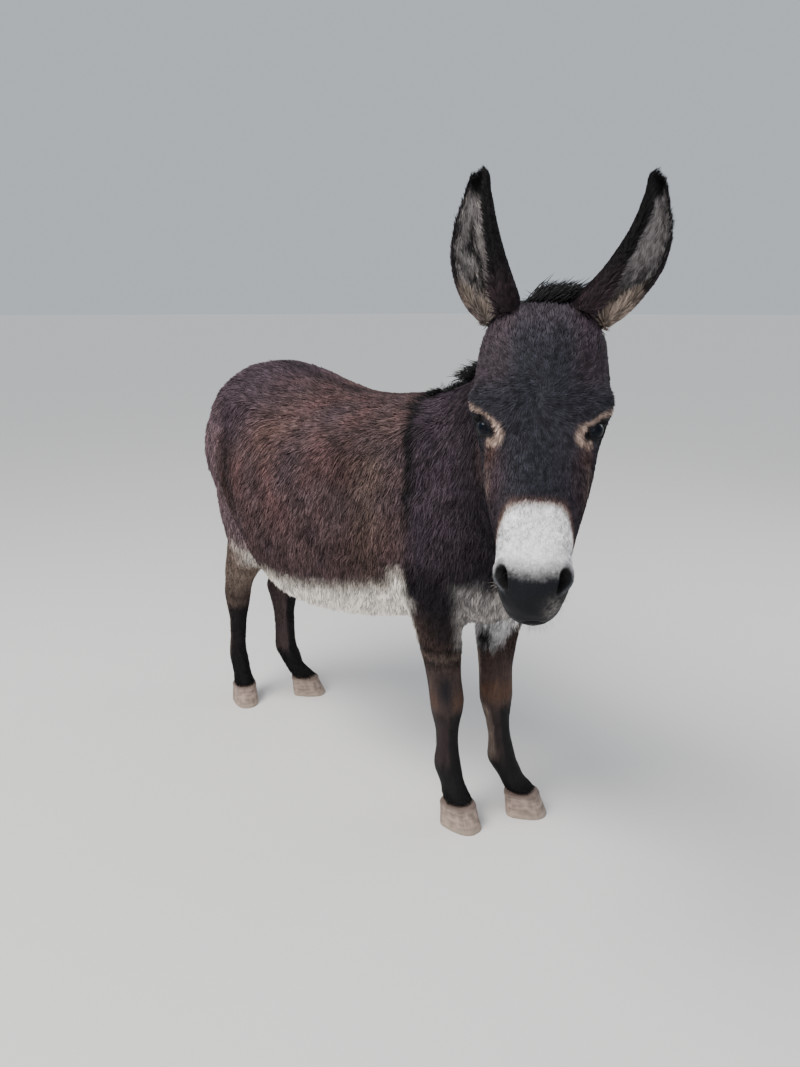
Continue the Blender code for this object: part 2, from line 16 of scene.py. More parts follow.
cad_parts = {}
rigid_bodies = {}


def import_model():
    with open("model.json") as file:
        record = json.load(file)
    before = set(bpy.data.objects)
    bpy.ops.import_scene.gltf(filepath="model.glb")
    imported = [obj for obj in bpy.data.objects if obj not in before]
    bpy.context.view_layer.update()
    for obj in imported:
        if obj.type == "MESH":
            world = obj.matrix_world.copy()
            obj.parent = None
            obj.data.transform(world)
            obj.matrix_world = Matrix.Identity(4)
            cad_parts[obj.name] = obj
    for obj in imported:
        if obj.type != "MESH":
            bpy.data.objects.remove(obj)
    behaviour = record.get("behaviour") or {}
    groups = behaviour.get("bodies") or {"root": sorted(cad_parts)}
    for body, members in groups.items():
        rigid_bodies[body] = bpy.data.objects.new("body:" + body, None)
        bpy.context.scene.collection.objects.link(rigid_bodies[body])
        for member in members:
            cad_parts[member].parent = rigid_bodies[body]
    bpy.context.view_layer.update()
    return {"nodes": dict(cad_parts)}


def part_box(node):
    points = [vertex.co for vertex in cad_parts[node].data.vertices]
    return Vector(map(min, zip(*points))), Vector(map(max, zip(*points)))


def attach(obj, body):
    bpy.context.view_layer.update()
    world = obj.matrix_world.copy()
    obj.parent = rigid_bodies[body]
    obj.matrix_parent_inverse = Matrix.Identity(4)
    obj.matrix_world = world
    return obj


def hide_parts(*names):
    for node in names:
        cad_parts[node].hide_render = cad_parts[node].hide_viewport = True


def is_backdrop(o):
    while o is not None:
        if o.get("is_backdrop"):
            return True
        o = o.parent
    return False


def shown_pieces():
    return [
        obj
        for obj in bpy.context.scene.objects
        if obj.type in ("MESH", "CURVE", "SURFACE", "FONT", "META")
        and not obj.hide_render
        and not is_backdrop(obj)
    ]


for left_over in list(bpy.data.objects):
    bpy.data.objects.remove(left_over)
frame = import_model()
NODES = frame["nodes"]
RIGHT, LEFT = -1, 1
WORDS = {RIGHT: "right", LEFT: "left"}
print("solids loaded:", len(NODES))

# %% [markdown]
# ## Directions
# The head is turned to the donkey's right and hangs a little, so it gets axes of its own: towards the
# nose, to its left, and out of the forehead. Places on the head and on the body are written in these
# two sets of axes. The eyes of the solids give the head's place, and its turn and drop are the solids' own.

# %% Head and body axes
HEAD_TURN, HEAD_DROP = math.radians(52.6), math.radians(52.0)
UP = Vector((0, 0, 1))
FACING = Vector((-math.sin(HEAD_TURN), -math.cos(HEAD_TURN), 0))
NOSEWARD = FACING * math.cos(HEAD_DROP) - UP * math.sin(HEAD_DROP)
BROWWARD = FACING * math.sin(HEAD_DROP) + UP * math.cos(HEAD_DROP)
HEAD_LEFT = BROWWARD.cross(NOSEWARD)
HEAD_AXES = np.array([NOSEWARD, HEAD_LEFT, BROWWARD])
EYE_RADIUS = 0.0195
EYE_PLACE = (0.198, 0.0715, -0.0375)  # from the poll, from the midline, from the nose line


def middle_of(node):
    low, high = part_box(node)
    return (low + high) / 2


EYES = {side: middle_of("eye_" + WORDS[side]) for side in WORDS}
POLL = (EYES[LEFT] + EYES[RIGHT]) / 2 - NOSEWARD * EYE_PLACE[0] - BROWWARD * EYE_PLACE[2]
POLL_FROM_BODY = Vector((-0.246, -0.639, 1.162))
BODY = POLL - POLL_FROM_BODY  # on the floor under the shoulders


def on_head(along, across, above):
    return POLL + NOSEWARD * along + HEAD_LEFT * across + BROWWARD * above


def on_body(across, back, height):
    return BODY + Vector((across, back, height))


def to_head(points):
    return (points - np.array(POLL)) @ HEAD_AXES.T


def to_body(points):
    return points - np.array(BODY)


print("poll at", [round(x, 3) for x in POLL])

# %% [markdown]
# ## Small tools
# Meshes of this size are handled as arrays of numbers, which is much faster than visiting each vertex.
# `step` is a soft switch from 0 to 1, and `blob` a soft spot round a place.


# %% Array helpers
def step(low, high, value):
    t = np.clip((value - low) / (high - low), 0, 1)
    return t * t * (3 - 2 * t)


def blob(places, centre, radii):
    away = (places - np.array(centre)) / np.array(radii)
    return np.exp(-(away**2).sum(axis=1))


def hump(value, middle, wide):
    """1 at the middle, falling smoothly on both sides."""
    return np.exp(-(((value - middle) / wide) ** 2))


def unit(vectors):
    return vectors / np.maximum(np.linalg.norm(vectors, axis=1), 1e-12)[:, None]


def tint(red, green, blue):
    """A colour given as on a paint card, 0 to 255, as the amounts of light that Blender works in."""
    return np.array([((x / 255 + 0.055) / 1.055) ** 2.4 if x > 10 else x / 3295 for x in (red, green, blue)])


def points_of(mesh):
    flat = np.empty(len(mesh.vertices) * 3, np.float32)
    mesh.vertices.foreach_get("co", flat)
    return flat.reshape(-1, 3).astype(float)


def normals_of(mesh):
    flat = np.empty(len(mesh.vertices) * 3, np.float32)
    mesh.vertex_normals.foreach_get("vector", flat)
    return flat.reshape(-1, 3).astype(float)


def put_points(mesh, points):
    mesh.vertices.foreach_set("co", points.astype(np.float32).ravel())
    mesh.update()


def edges_of(mesh):
    flat = np.empty(len(mesh.edges) * 2, np.int32)
    mesh.edges.foreach_get("vertices", flat)
    return flat.reshape(-1, 2)


def spread(values, edges, rounds, mask=None):
    """Evens out numbers held by vertices with those of their neighbours."""
    values = values.astype(float).copy()
    count = np.bincount(edges.ravel(), minlength=len(values)).astype(float)
    count[count == 0] = 1
    for _ in range(rounds):
        total = np.zeros_like(values)
        for a, b in ((0, 1), (1, 0)):
            for k in range(values.shape[1]):
                total[:, k] += np.bincount(edges[:, a], weights=values[edges[:, b], k], minlength=len(values))
        mean = total / count[:, None]
        values = mean * 0.6 + values * 0.4 if mask is None else values + (mean - values) * 0.6 * mask[:, None]
    return values


def store(mesh, name, kind, values):
    found = mesh.attributes.get(name) or mesh.attributes.new(name, kind, "POINT")
    field = {"FLOAT": "value", "FLOAT_VECTOR": "vector", "FLOAT_COLOR": "color"}[kind]
    if kind == "FLOAT_COLOR":
        values = np.column_stack([values, np.ones(len(values))])
    found.data.foreach_set(field, np.ascontiguousarray(values, np.float32).ravel())


def numbers(mesh, name):
    found = np.empty(len(mesh.vertices), np.float32)
    mesh.attributes[name].data.foreach_get("value", found)
    return found.astype(float)


def worked(work, name):
    """A new mesh from an editable one, which is then let go."""
    mesh = bpy.data.meshes.new(name)
    work.to_mesh(mesh)
    work.free()
    return mesh


def face_outwards(mesh):
    work = bmesh.new()
    work.from_mesh(mesh)
    bmesh.ops.recalc_face_normals(work, faces=work.faces)
    work.to_mesh(mesh)
    work.free()


def add_object(name, mesh):
    made = bpy.data.objects.new(name, mesh)
    bpy.context.scene.collection.objects.link(made)
    return made


def settled(item):
    """Applies every modifier of an object."""
    bpy.context.view_layer.update()
    mesh = bpy.data.meshes.new_from_object(item.evaluated_get(bpy.context.evaluated_depsgraph_get()))
    item.modifiers.clear()
    item.data = mesh
    return item


def grain(points, size, seed=0.0):
    """Soft random numbers from -1 to 1, alike for neighbouring places."""
    shift = Vector((seed, 1.7 * seed, -seed))
    return np.array([noise.noise(Vector(p) / size + shift) for p in points])


print("helpers ready")

# %% [markdown]
# ## One skin
# On a real donkey one skin covers the head, neck, trunk and legs. The solids were parted with thin cuts,
# so copies of them are swollen by less than a millimetre until the cuts close, then fused on a fine grid
# of voxels and relaxed. The eyes are fused in as well, which fills their sockets, because the lids are
# shaped over the eyeballs afterwards.

# %% Fuse the flesh
FLESH = ["head", "neck", "trunk", "tail"]
FLESH += [f"{leg}_{word}" for leg in ("foreleg", "hindleg") for word in WORDS.values()]
SKIN_VOXEL = 0.0038
SWELL = 0.0005  # as wide as a cut, from each side
SOCKET_FILL = 0.001  # how much larger than the eyeball the fill is


def fused_flesh():
    work = bmesh.new()
    for name in FLESH:
        piece = bmesh.new()
        piece.from_mesh(NODES[name].data)
        bmesh.ops.remove_doubles(piece, verts=piece.verts, dist=1e-5)
        piece.normal_update()
        for vertex in piece.verts:
            vertex.co += vertex.normal * SWELL
        copy = worked(piece, "copy")
        work.from_mesh(copy)
        bpy.data.meshes.remove(copy)
    for centre in EYES.values():
        place, radius = Matrix.Translation(centre), EYE_RADIUS + SOCKET_FILL
        bmesh.ops.create_uvsphere(work, u_segments=24, v_segments=16, radius=radius, matrix=place)
    return add_object("skin", worked(work, "skin"))


skin = fused_flesh()
fuse = skin.modifiers.new("fuse", "REMESH")
fuse.mode = "VOXEL"
fuse.voxel_size = SKIN_VOXEL
relax = skin.modifiers.new("relax", "SMOOTH")
relax.factor = 0.5
relax.iterations = 8
settled(skin)
print("fused skin:", len(skin.data.polygons), "faces")

# %% [markdown]
# Each vertex is then told which part of the body it belongs to. The nearest solid answers that, and the
# answers are evened out over the surface, so that one part's hair runs into the next.


# %% Find the parts of the body
def parts_of(points, edges, rounds=30):
    corners, triangles, owner = [], [], []
    for k, name in enumerate(FLESH):
        mesh = NODES[name].data
        start = len(corners)
        corners += [tuple(v.co) for v in mesh.vertices]
        for face in mesh.polygons:
            triangles.append([start + v for v in face.vertices])
            owner.append(k)
    tree = BVHTree.FromPolygons(corners, triangles)
    nearest = np.array([owner[tree.find_nearest(Vector(p))[2]] for p in points])
    shares = np.eye(len(FLESH))[nearest]
    return spread(shares, edges, rounds)


def head_share(points):
    """1 on the head, 0 behind the throat."""
    along, _, above = to_head(points).T
    return step(-0.055, 0.0, along * 0.80 + above * 0.55 + 0.06) * step(-0.36, -0.30, above)


raw = points_of(skin.data)
print("skin vertices:", len(raw), "on the head:", int((head_share(raw) > 0.5).sum()))

# %% [markdown]
# The body can be coarser than the head, because long hair hides it. Decimate with a vertex group takes
# most of its faces from the body.

# %% Thin the body, keep the head
bodyward = skin.vertex_groups.new(name="bodyward")
weights = 1 - head_share(raw)
for level in range(1, 11):
    chosen = np.nonzero(np.round(weights * 10) == level)[0]
    bodyward.add(chosen.tolist(), level / 10, "REPLACE")
thin = skin.modifiers.new("thin", "DECIMATE")
thin.vertex_group = "bodyward"
thin.vertex_group_factor = 10
thin.ratio = 0.28
settled(skin)
skin.vertex_groups.clear()
raw = points_of(skin.data)
head_count = int((head_share(raw) > 0.5).sum())
print("thinned skin:", len(skin.data.polygons), "faces;", head_count, "vertices on the head")

# %% [markdown]
# ## The face
# Lids, nostrils and lips need a finer mesh than the rest, so the faces near them are divided once or
# twice. Then the vertices are moved by rules, as a sculptor would push clay: along the skin's normal for
# swellings and furrows, and straight away from the eyeball's centre for the lids.

# %% Finer faces round eyes, nostrils and lips
NOSTRIL = (0.4310, 0.0385, -0.034)
NOSTRIL_LONG, NOSTRIL_WIDE, NOSTRIL_TALL = 0.0185, 0.0108, 0.024
MOUTH = (  # from the middle of the lips to a corner of the mouth
    (0.479, 0.000, -0.070),
    (0.470, 0.020, -0.074),
    (0.446, 0.036, -0.084),
    (0.415, 0.044, -0.093),
    (0.392, 0.047, -0.099),
)


def off_the_nostril(places):
    """0 in the middle of the nostril and 1 at its rim. It is a comma, wider towards the forehead."""
    along, across = places[:, 0] - NOSTRIL[0], places[:, 1] - NOSTRIL[1]
    rise = places[:, 2] - NOSTRIL[2]
    bent = across - 0.25 * rise + 12 * (along + 0.004) ** 2
    wide = NOSTRIL_WIDE * np.clip(1.0 - 28 * along, 0.45, 1.5)
    return np.sqrt((along / NOSTRIL_LONG) ** 2 + (bent / wide) ** 2 + (rise / NOSTRIL_TALL) ** 2)


def nostril_share(places):
    return step(1.12, 0.62, off_the_nostril(places))


def mirrored(points):
    """Head places with the left side laid over the right one."""
    places = to_head(points)
    places[:, 1] = np.abs(places[:, 1])
    return places


def from_line(places, corners):
    """Distance of each place from a line through corners."""
    best = np.full(len(places), 1e9)
    for a, b in zip(np.array(corners[:-1]), np.array(corners[1:])):
        t = np.clip(((places - a) @ (b - a)) / ((b - a) @ (b - a)), 0, 1)
        best = np.minimum(best, np.linalg.norm(places - a - t[:, None] * (b - a), axis=1))
    return best


def divide(mesh, chosen):
    """Splits the edges of the faces whose middle is chosen, and leaves only triangles."""
    work = bmesh.new()
    work.from_mesh(mesh)
    bmesh.ops.triangulate(work, faces=work.faces)
    middles = np.array([f.calc_center_median() for f in work.faces])
    picked = np.nonzero(chosen(middles))[0]
    work.faces.ensure_lookup_table()
    edges = {e for k in picked for e in work.faces[k].edges}
    bmesh.ops.subdivide_edges(work, edges=list(edges), cuts=1, use_grid_fill=True)
    bmesh.ops.triangulate(work, faces=work.faces)
    work.to_mesh(mesh)
    work.free()


def near_features(eye_reach, nostril_reach, mouth_reach):
    def chosen(points):
        places = mirrored(points)
        near = np.linalg.norm(places - np.array(EYE_PLACE), axis=1) < eye_reach
        near |= np.linalg.norm(places - np.array(NOSTRIL), axis=1) < nostril_reach
        return near | (from_line(places, MOUTH) < mouth_reach)

    return chosen


for reaches in ((0.034, 0.026, 0.011), (0.029, 0.018, 0.006)):  # round eyes, nostrils and lips
    divide(skin.data, near_features(*reaches))
print("refined skin:", len(skin.data.polygons), "triangles")

# %% Push the face into shape
# Each row: name, place on the head, reach along, across and out, how far the skin moves.
FACE_FORMS = (
    ("cheek crest", (0.245, 0.066, -0.068), (0.060, 0.018, 0.008), 0.0015),
    ("under the crest", (0.250, 0.066, -0.092), (0.055, 0.022, 0.012), -0.0025),
    ("hollow over the eye", (0.132, 0.084, -0.040), (0.018, 0.016, 0.016), -0.0050),
    ("under the eye", (0.205, 0.096, -0.060), (0.030, 0.020, 0.022), -0.0040),
    ("side of the crown", (0.008, 0.072, -0.006), (0.024, 0.020, 0.022), -0.0060),
    ("brow bone", (0.160, 0.078, -0.014), (0.026, 0.016, 0.012), 0.0020),
    ("nasal groove", (0.300, 0.046, -0.030), (0.060, 0.010, 0.016), -0.0020),
    ("muzzle hollow", (0.375, 0.050, -0.045), (0.028, 0.016, 0.022), -0.0025),
    ("nostril flap", (0.452, 0.038, -0.052), (0.010, 0.010, 0.010), 0.0024),
    ("between the nostrils", (0.440, 0.000, -0.020), (0.026, 0.016, 0.022), 0.0016),
    ("nose groove", (0.462, 0.000, -0.032), (0.018, 0.006, 0.018), -0.0018),
    ("lower lip", (0.462, 0.006, -0.090), (0.016, 0.022, 0.010), 0.0025),
    ("chin", (0.436, 0.008, -0.118), (0.022, 0.016, 0.012), 0.0030),
    ("chin groove", (0.452, 0.006, -0.104), (0.008, 0.022, 0.006), -0.0020),
    ("jaw hollow", (0.290, 0.030, -0.150), (0.040, 0.020, 0.020), -0.0020),
)


def shape_face(mesh):
    points = points_of(mesh)
    normals = normals_of(mesh)
    places = mirrored(points)
    move = np.zeros(len(points))
    for _, centre, reach, height in FACE_FORMS:
        move += height * blob(places, centre, reach)
    off_mouth = from_line(places, MOUTH)
    move += 0.0012 * hump(off_mouth, 0.007, 0.004)  # the lips swell beside the slit
    move -= 0.0042 * hump(off_mouth, 0, 0.0026)  # and the slit is pressed in
    inside = nostril_share(places)
    move -= 0.0165 * inside + 0.0030 * blob(places, NOSTRIL, (0.018, 0.012, 0.016))
    rim = hump(off_the_nostril(places), 1.28, 0.26)
    move += 0.0026 * rim * step(-0.9, 0.3, (places[:, 1] - NOSTRIL[1]) / 0.008)
    wrinkles = np.sin(places[:, 0] * 900 + 8 * np.sin(places[:, 1] * 60))
    move += 0.0003 * wrinkles * blob(places, (0.440, 0.030, -0.060), (0.035, 0.030, 0.040))
    put_points(mesh, points + normals * move[:, None])


shape_face(skin.data)
print("face shaped with", len(FACE_FORMS), "forms")

# %% [markdown]
# The opening between the lids is an almond on the eyeball. Inside it the skin dives behind the ball, at
# its edge it is a rounded lid about 2 mm thick, and further out it goes over into the face.

# %% Lids
OPENING = tuple(math.radians(a) for a in (68, 50, 20, 35))  # to the inner corner, outer, upper lid, lower lid


def eye_axes(side):
    """Where an eye looks, the way to its inner corner, and the way up across it."""
    gaze = (NOSEWARD * 0.20 + HEAD_LEFT * (side * 0.71) + BROWWARD * 0.67).normalized()
    inner = NOSEWARD - HEAD_LEFT * (side * 0.85) + BROWWARD * 0.65
    inner = (inner - gaze * inner.dot(gaze)).normalized()
    above = gaze.cross(inner) * side
    if above.dot(HEAD_LEFT * side) > 0:
        above = -above
    return gaze, inner, above


def off_the_opening(points, side):
    """Millimetres outside the edge of the opening, angles towards the inner corner and upwards, reach."""
    gaze, inner, above = (np.array(a) for a in eye_axes(side))
    away = points - np.array(EYES[side])
    ahead = np.maximum(away @ gaze, 1e-4)
    x, y = np.arctan2(away @ inner, ahead), np.arctan2(away @ above, ahead)
    half = np.where(x > 0, OPENING[0], OPENING[1])
    height = np.where(y > 0, OPENING[2], OPENING[3])
    outside = (x / half) ** 2 + np.abs(y) / height - 1
    out = outside * height * EYE_RADIUS * 1000
    out[away @ gaze < -0.004] = 99
    return out, x, y, np.linalg.norm(away, axis=1)


def shape_lids(mesh):
    points = points_of(mesh)
    for side, centre in EYES.items():
        away = points - np.array(centre)
        out, _, y, reach = off_the_opening(points, side)
        near = (reach < 0.040) & (out < 20)
        out, y, was, away = out[near], y[near], reach[near] * 1000, away[near]
        ball = EYE_RADIUS * 1000
        lid = ball + 2.2 - 1.0 * hump(out, 5.5, 2.0) * (y > 0)  # in millimetres, with a fold in the upper lid
        behind = ball - 1.6 - 3.0 * step(0, 6, -out)
        edge = step(-0.6, 1.2, out)
        outer = np.maximum(step(2.0, 11.0, out), step(ball + 9, ball + 15, was))
        now = behind * (1 - edge) + lid * edge
        now = now * (1 - outer) + was * outer
        points[near] = np.array(centre) + away / was[:, None] * now[:, None]
    put_points(mesh, points)


shape_lids(skin.data)
print("lids shaped")

# %% [markdown]
# ## What grows where
# Five things are written on every vertex of the skin: the colour of its hair, the way the hair lies, how
# long it is, how close the tufts stand and how far they lift. The coat reads all of them and the skin
# the colour, so a marking is painted once and shows on both.

# %% Colours of this donkey
CHOCOLATE = tint(83, 66, 67)
RED_BROWN = tint(99, 73, 73)
WARM_BROWN = tint(108, 82, 74)
OLIVE_BROWN = tint(94, 79, 71)
DUSK_BROWN = tint(68, 57, 65)
SHOULDER = tint(43, 37, 43)
SHOULDER_TOP = tint(61, 52, 60)
RUMP_BROWN = tint(110, 92, 97)
DEEP_BROWN = tint(60, 46, 44)
NEAR_BLACK = tint(28, 25, 30)
FACE_BROWN = tint(43, 43, 50)
CROWN_BROWN = tint(58, 51, 58)
CHEEK_BROWN = tint(67, 53, 58)
TAN = tint(178, 154, 140)
RUST = tint(96, 66, 56)
WHITE = tint(239, 237, 238)
BELLY_WHITE = tint(229, 223, 215)
CREAM = tint(200, 192, 182)
BEIGE = tint(146, 128, 116)
PALE_GREY = tint(150, 145, 142)
LEG_BROWN = tint(69, 56, 52)
PURPLE_BROWN = tint(66, 54, 55)
KNEE_BROWN = tint(88, 63, 49)
BLACK = tint(20, 18, 20)
CHARCOAL = tint(18, 19, 24)
GREY_LIP = tint(78, 80, 84)
PALE_LIP = tint(104, 100, 97)
# Near black, painted as the shade inside the hollows of the nostrils.
NOSTRIL_SHADE = tint(9, 9, 11)
print("colours mixed")


# %% Markings
def paint(colours, share, colour):
    """Lays a colour over the ones there, as strongly as share says."""
    share = np.clip(share, 0, 1)[:, None]
    return colours * (1 - share) + colour * share


def layered(colours, *layers):
    """Lays one colour after the other: each layer is a share and a colour."""
    for share, colour in layers:
        colours = paint(colours, share, colour)
    return colours


def plain(colour, points):
    """One colour for every point."""
    return np.tile(colour, (len(points), 1))


def part_share(shares, word):
    return sum(shares[:, k] for k, name in enumerate(FLESH) if word in name)


PALE_EDGE = (  # back, and the height up to which the belly is pale
    (-0.30, 0.630),
    (-0.225, 0.634),
    (-0.190, 0.598),
    (-0.147, 0.582),
    (-0.065, 0.567),
    (0.055, 0.554),
    (0.160, 0.552),
    (0.33, 0.540),
)
SHOULDER_EDGE = (  # height, and how far back the dark shoulder reaches
    (0.50, -0.252),
    (0.63, -0.256),
    (0.70, -0.260),
    (0.795, -0.258),
    (0.86, -0.250),
    (0.915, -0.238),
    (0.965, -0.184),
)
DARK_CLOUDS = (  # back and up, how far each reaches, and its share
    ((-0.080, 0.835), (0.058, 0.075), 0.75),
    ((-0.130, 0.655), (0.080, 0.050), 0.55),
    ((0.365, 0.745), (0.060, 0.080), 0.95),
    ((0.090, 0.960), (0.110, 0.035), 0.30),
)


def body_colours(points, normals, shares, cloud):
    across, back, height = to_body(points).T
    aside = np.abs(across)
    broad = grain(points, 0.080, 5.0) + 0.5 * grain(points, 0.030, 6.0)
    colours = plain(CHOCOLATE, points)
    colours = paint(colours, 0.70 * step(0.00, 0.55, broad) * step(0.62, 0.74, height), RED_BROWN)
    colours = paint(colours, 0.55 * step(-0.05, -0.60, broad), DUSK_BROWN)
    golden = hump(back + 0.150 + 0.02 * cloud, 0, 0.050) * step(0.98, 0.84, height)
    colours = paint(colours, 0.75 * golden * (0.7 + 0.5 * cloud), OLIVE_BROWN)
    colours = paint(colours, 0.25 * step(0.84, 0.62, height), DEEP_BROWN)
    rump_top = step(0.10, 0.34, back) * step(0.80, 0.92, height + 0.04 * cloud)
    colours = layered(
        colours,
        (0.85 * rump_top + 0.20 * step(0.1, 0.5, cloud), DUSK_BROWN),
        (0.80 * step(0.36, 0.44, back) * step(0.96, 0.86, height + 0.05 * cloud), RUMP_BROWN),
        (0.60 * step(0.30, 0.40, back) * step(0.70, 0.60, height + 0.03 * cloud), RUMP_BROWN),
        (0.55 * hump(aside, 0, 0.022) * step(0.3, 0.9, normals[:, 2]), NEAR_BLACK),
    )
    on_side = np.column_stack([back, height])
    colours = paint(colours, 0.60 * blob(on_side, (0.170, 0.870), (0.060, 0.048)), WARM_BROWN)
    for where, reach, share in DARK_CLOUDS:
        colours = paint(colours, share * blob(on_side, where, reach) * (1 + 0.6 * cloud), DEEP_BROWN * 0.8)
    # Painted shade: a dark band where the fold between the thigh and the flank lies in shadow.
    thigh_fold_shade = hump(back - 0.335 - 0.3 * (height - 0.78), 0, 0.020)
    thigh_fold_shade = thigh_fold_shade * step(0.62, 0.72, height) * step(0.90, 0.82, height)
    colours = paint(colours, 0.7 * thigh_fold_shade, NEAR_BLACK)
    edge = np.interp(back, *zip(*PALE_EDGE))
    belly = (1 - part_share(shares, "leg")) * step(-0.268, -0.238, back + 0.006 * cloud)
    colours = paint(colours, belly * step(0.022, -0.020, height - edge + 0.016 * cloud), CREAM)
    colours = paint(colours, belly * step(0.00, -0.04, height - edge + 0.020 * cloud), BELLY_WHITE)
    cross = np.interp(height, *zip(*SHOULDER_EDGE))
    broken = 0.010 * cloud + 0.012 * grain(points, 0.045, 8.0)
    fore = np.maximum(part_share(shares, "neck"), step(0.016, -0.016, back - cross + broken))
    behind = step(-0.19, -0.06, back - cross) * step(0.62, 0.76, height + 0.04 * cloud)
    shoulder = SHOULDER + (SHOULDER_TOP - SHOULDER) * behind[:, None]
    colours = paint(colours, 0.94 * fore, shoulder)
    # Painted shade: the throat's underside and the front of the neck and breast, under the hanging head, are
    # darkened towards black. The share set by cloud is the coat's own darker patches.
    throat = part_share(shares, "neck") * step(1.02, 0.90, height) * step(0.2, -0.3, normals[:, 2])
    front = fore * step(-0.08, -0.17, back - cross) * step(0.82, 0.70, height)
    colours = paint(colours, 0.6 * throat + 0.55 * front + 0.40 * fore * step(0.30, 0.80, cloud), NEAR_BLACK)
    colours = paint(colours, 0.75 * fore * step(0.70, 0.62, height + 0.02 * cloud), NEAR_BLACK)
    wide = 0.015 + 0.05 * np.maximum(height - 0.88, 0)
    stripe = hump(back - cross + 0.4 * broken, 0, wide) * step(0.70, 0.82, height)
    return paint(colours, 1.25 * stripe, BLACK)


def chest_colours(colours, points, normals, cloud):
    """The pale patch between the forelegs, down the front of the left one; grey as painted shade, white low
    down.
    """
    across, back, height = to_body(points).T
    patch = step(0.645, 0.605, height + 0.014 * cloud) * step(-0.20, -0.24, back)
    on_left = step(-0.010, 0.008, height - 0.408 - 1.3 * (across - 0.032) + 0.006 * cloud)
    on_left = on_left * step(0.85, 0.45, normals[:, 0])
    on_right = step(-0.012, 0.012, across + 0.128 - 0.36 * (0.60 - height) + 0.008 * cloud)
    on_right = on_right * step(0.43, 0.47, height)
    pale = patch * np.where(across > 0, on_left, on_right) * (0.88 + 0.3 * cloud)
    mottle = step(0.05, 0.45, grain(points, 0.020, 7.0)) * step(0.50, 0.56, height)
    dark_end = blob(np.column_stack([across, back, height]), (0.031, -0.300, 0.434), (0.018, 0.025, 0.024))
    # Painted shade: the pale patch is laid on in grey, the tone it has in shade; only its lower part on the
    # left leg is white.
    colours = layered(
        colours,
        (pale, PALE_GREY),
        (0.55 * patch * on_left * step(0.010, 0.035, across) * step(0.58, 0.54, height), WHITE),
        (0.5 * patch * mottle, SHOULDER),
    )
    return paint(colours, 1.6 * dark_end, BLACK)


def leg_colours(colours, points, normals, shares, cloud):
    """Bars, rusty knees and black feet. The black runs down the sides that face ahead and left."""
    across, back, height = to_body(points).T
    outer, ahead = normals[:, 0] * np.sign(across), -normals[:, 1]
    to_left = 0.68 * ahead + 0.73 * normals[:, 0] + 0.12 * cloud
    fore, hind = part_share(shares, "foreleg"), part_share(shares, "hindleg")
    left = across > 0
    low = height + 0.006 * cloud
    arm = layered(
        plain(LEG_BROWN, points),
        (0.25 + 0.5 * cloud + 0.20 * left, DEEP_BROWN),
        (0.70 * step(0.50, 0.56, low), DEEP_BROWN),
        (0.72 * ~left * step(0.462, 0.485, low) * step(-0.75, -0.35, to_left), NEAR_BLACK),
        (0.75 * left * step(-0.80, -0.97, to_left) * step(0.33, 0.36, height), BEIGE),
        (0.45 * ~left * hump(low, 0.424, 0.010), BEIGE * 0.55),
    )
    for bar, thick, share in ((0.446, 0.0085, 1.0), (0.402, 0.0050, 0.8)):
        arm = paint(arm, share * hump(low, bar, thick) * step(0.7, 0.2, -outer) * ~left, BLACK)
    right_knee = 0.75 * hump(low, 0.306, 0.020) * step(0.25, 0.6, np.abs(to_left + 0.1))
    knee = np.where(left, 0.85 * hump(low, 0.310, 0.026), right_knee)
    knee_front = blob(np.column_stack([height, to_left]), (0.335, -0.05), (0.043, 0.48))
    mottle = grain(points, 0.011, 9.0)
    arm = layered(
        arm,
        (0.45 * step(0.15, 0.6, grain(points, 0.022, 12.0)) * step(0.26, 0.30, low), NEAR_BLACK),
        (knee * (0.75 + 0.6 * mottle), KNEE_BROWN),
        (0.5 * step(0.1, 0.6, -mottle) * step(0.42, 0.38, low), DEEP_BROWN),
        (1.1 * ~left * knee_front, NEAR_BLACK),
    )
    cannon = step(0.280, 0.262, low)
    arm = layered(
        arm,
        (0.90 * cannon, PURPLE_BROWN * 0.42),
        (0.70 * cannon * left * step(-0.30, -0.75, to_left) * (0.8 + 0.5 * mottle), BEIGE * 0.75),
        (0.92 * cannon * step(-0.10, np.where(left, 0.25, 0.40), to_left), BLACK),
        (step(0.155, 0.120, height + 0.01 * cloud), BLACK),
    )
    thigh = layered(
        plain(BEIGE * 0.74, points),
        (0.40 + 0.5 * cloud + 0.5 * step(0.40, 0.33, height), LEG_BROWN),
        (0.6 * step(0.1, -0.7, outer) * step(0.42, 0.50, height), CREAM),
        (0.9 * left * step(0.48, 0.42, height), PURPLE_BROWN * 1.25),
        (0.95 * left * step(0.05, 0.35, to_left), BLACK),
        (0.8 * left * step(-0.75, -0.95, to_left) * step(0.38, 0.42, height), BLACK),
        (0.95 * ~left * step(0.318, 0.300, low) * step(-0.95, -0.70, to_left), BLACK),
        (step(0.165, 0.130, height + 0.01 * cloud), BLACK),
    )
    fore = np.maximum(fore, step(-0.215, -0.250, back) * step(0.60, 0.52, height))
    colours = paint(colours, fore * step(0.60, 0.50, height + 0.03 * cloud), arm)
    return paint(colours, hind * step(0.70, 0.58, height + 0.10 * back + 0.03 * cloud - 0.03), thigh)


# Middle line of the pale band, from the middle of the eye inwards and up, in millimetres.
RING = ((-28, 22), (-6, 20), (12, 18), (28, 14), (37, 8), (41, 0), (35, -8), (22, -11))


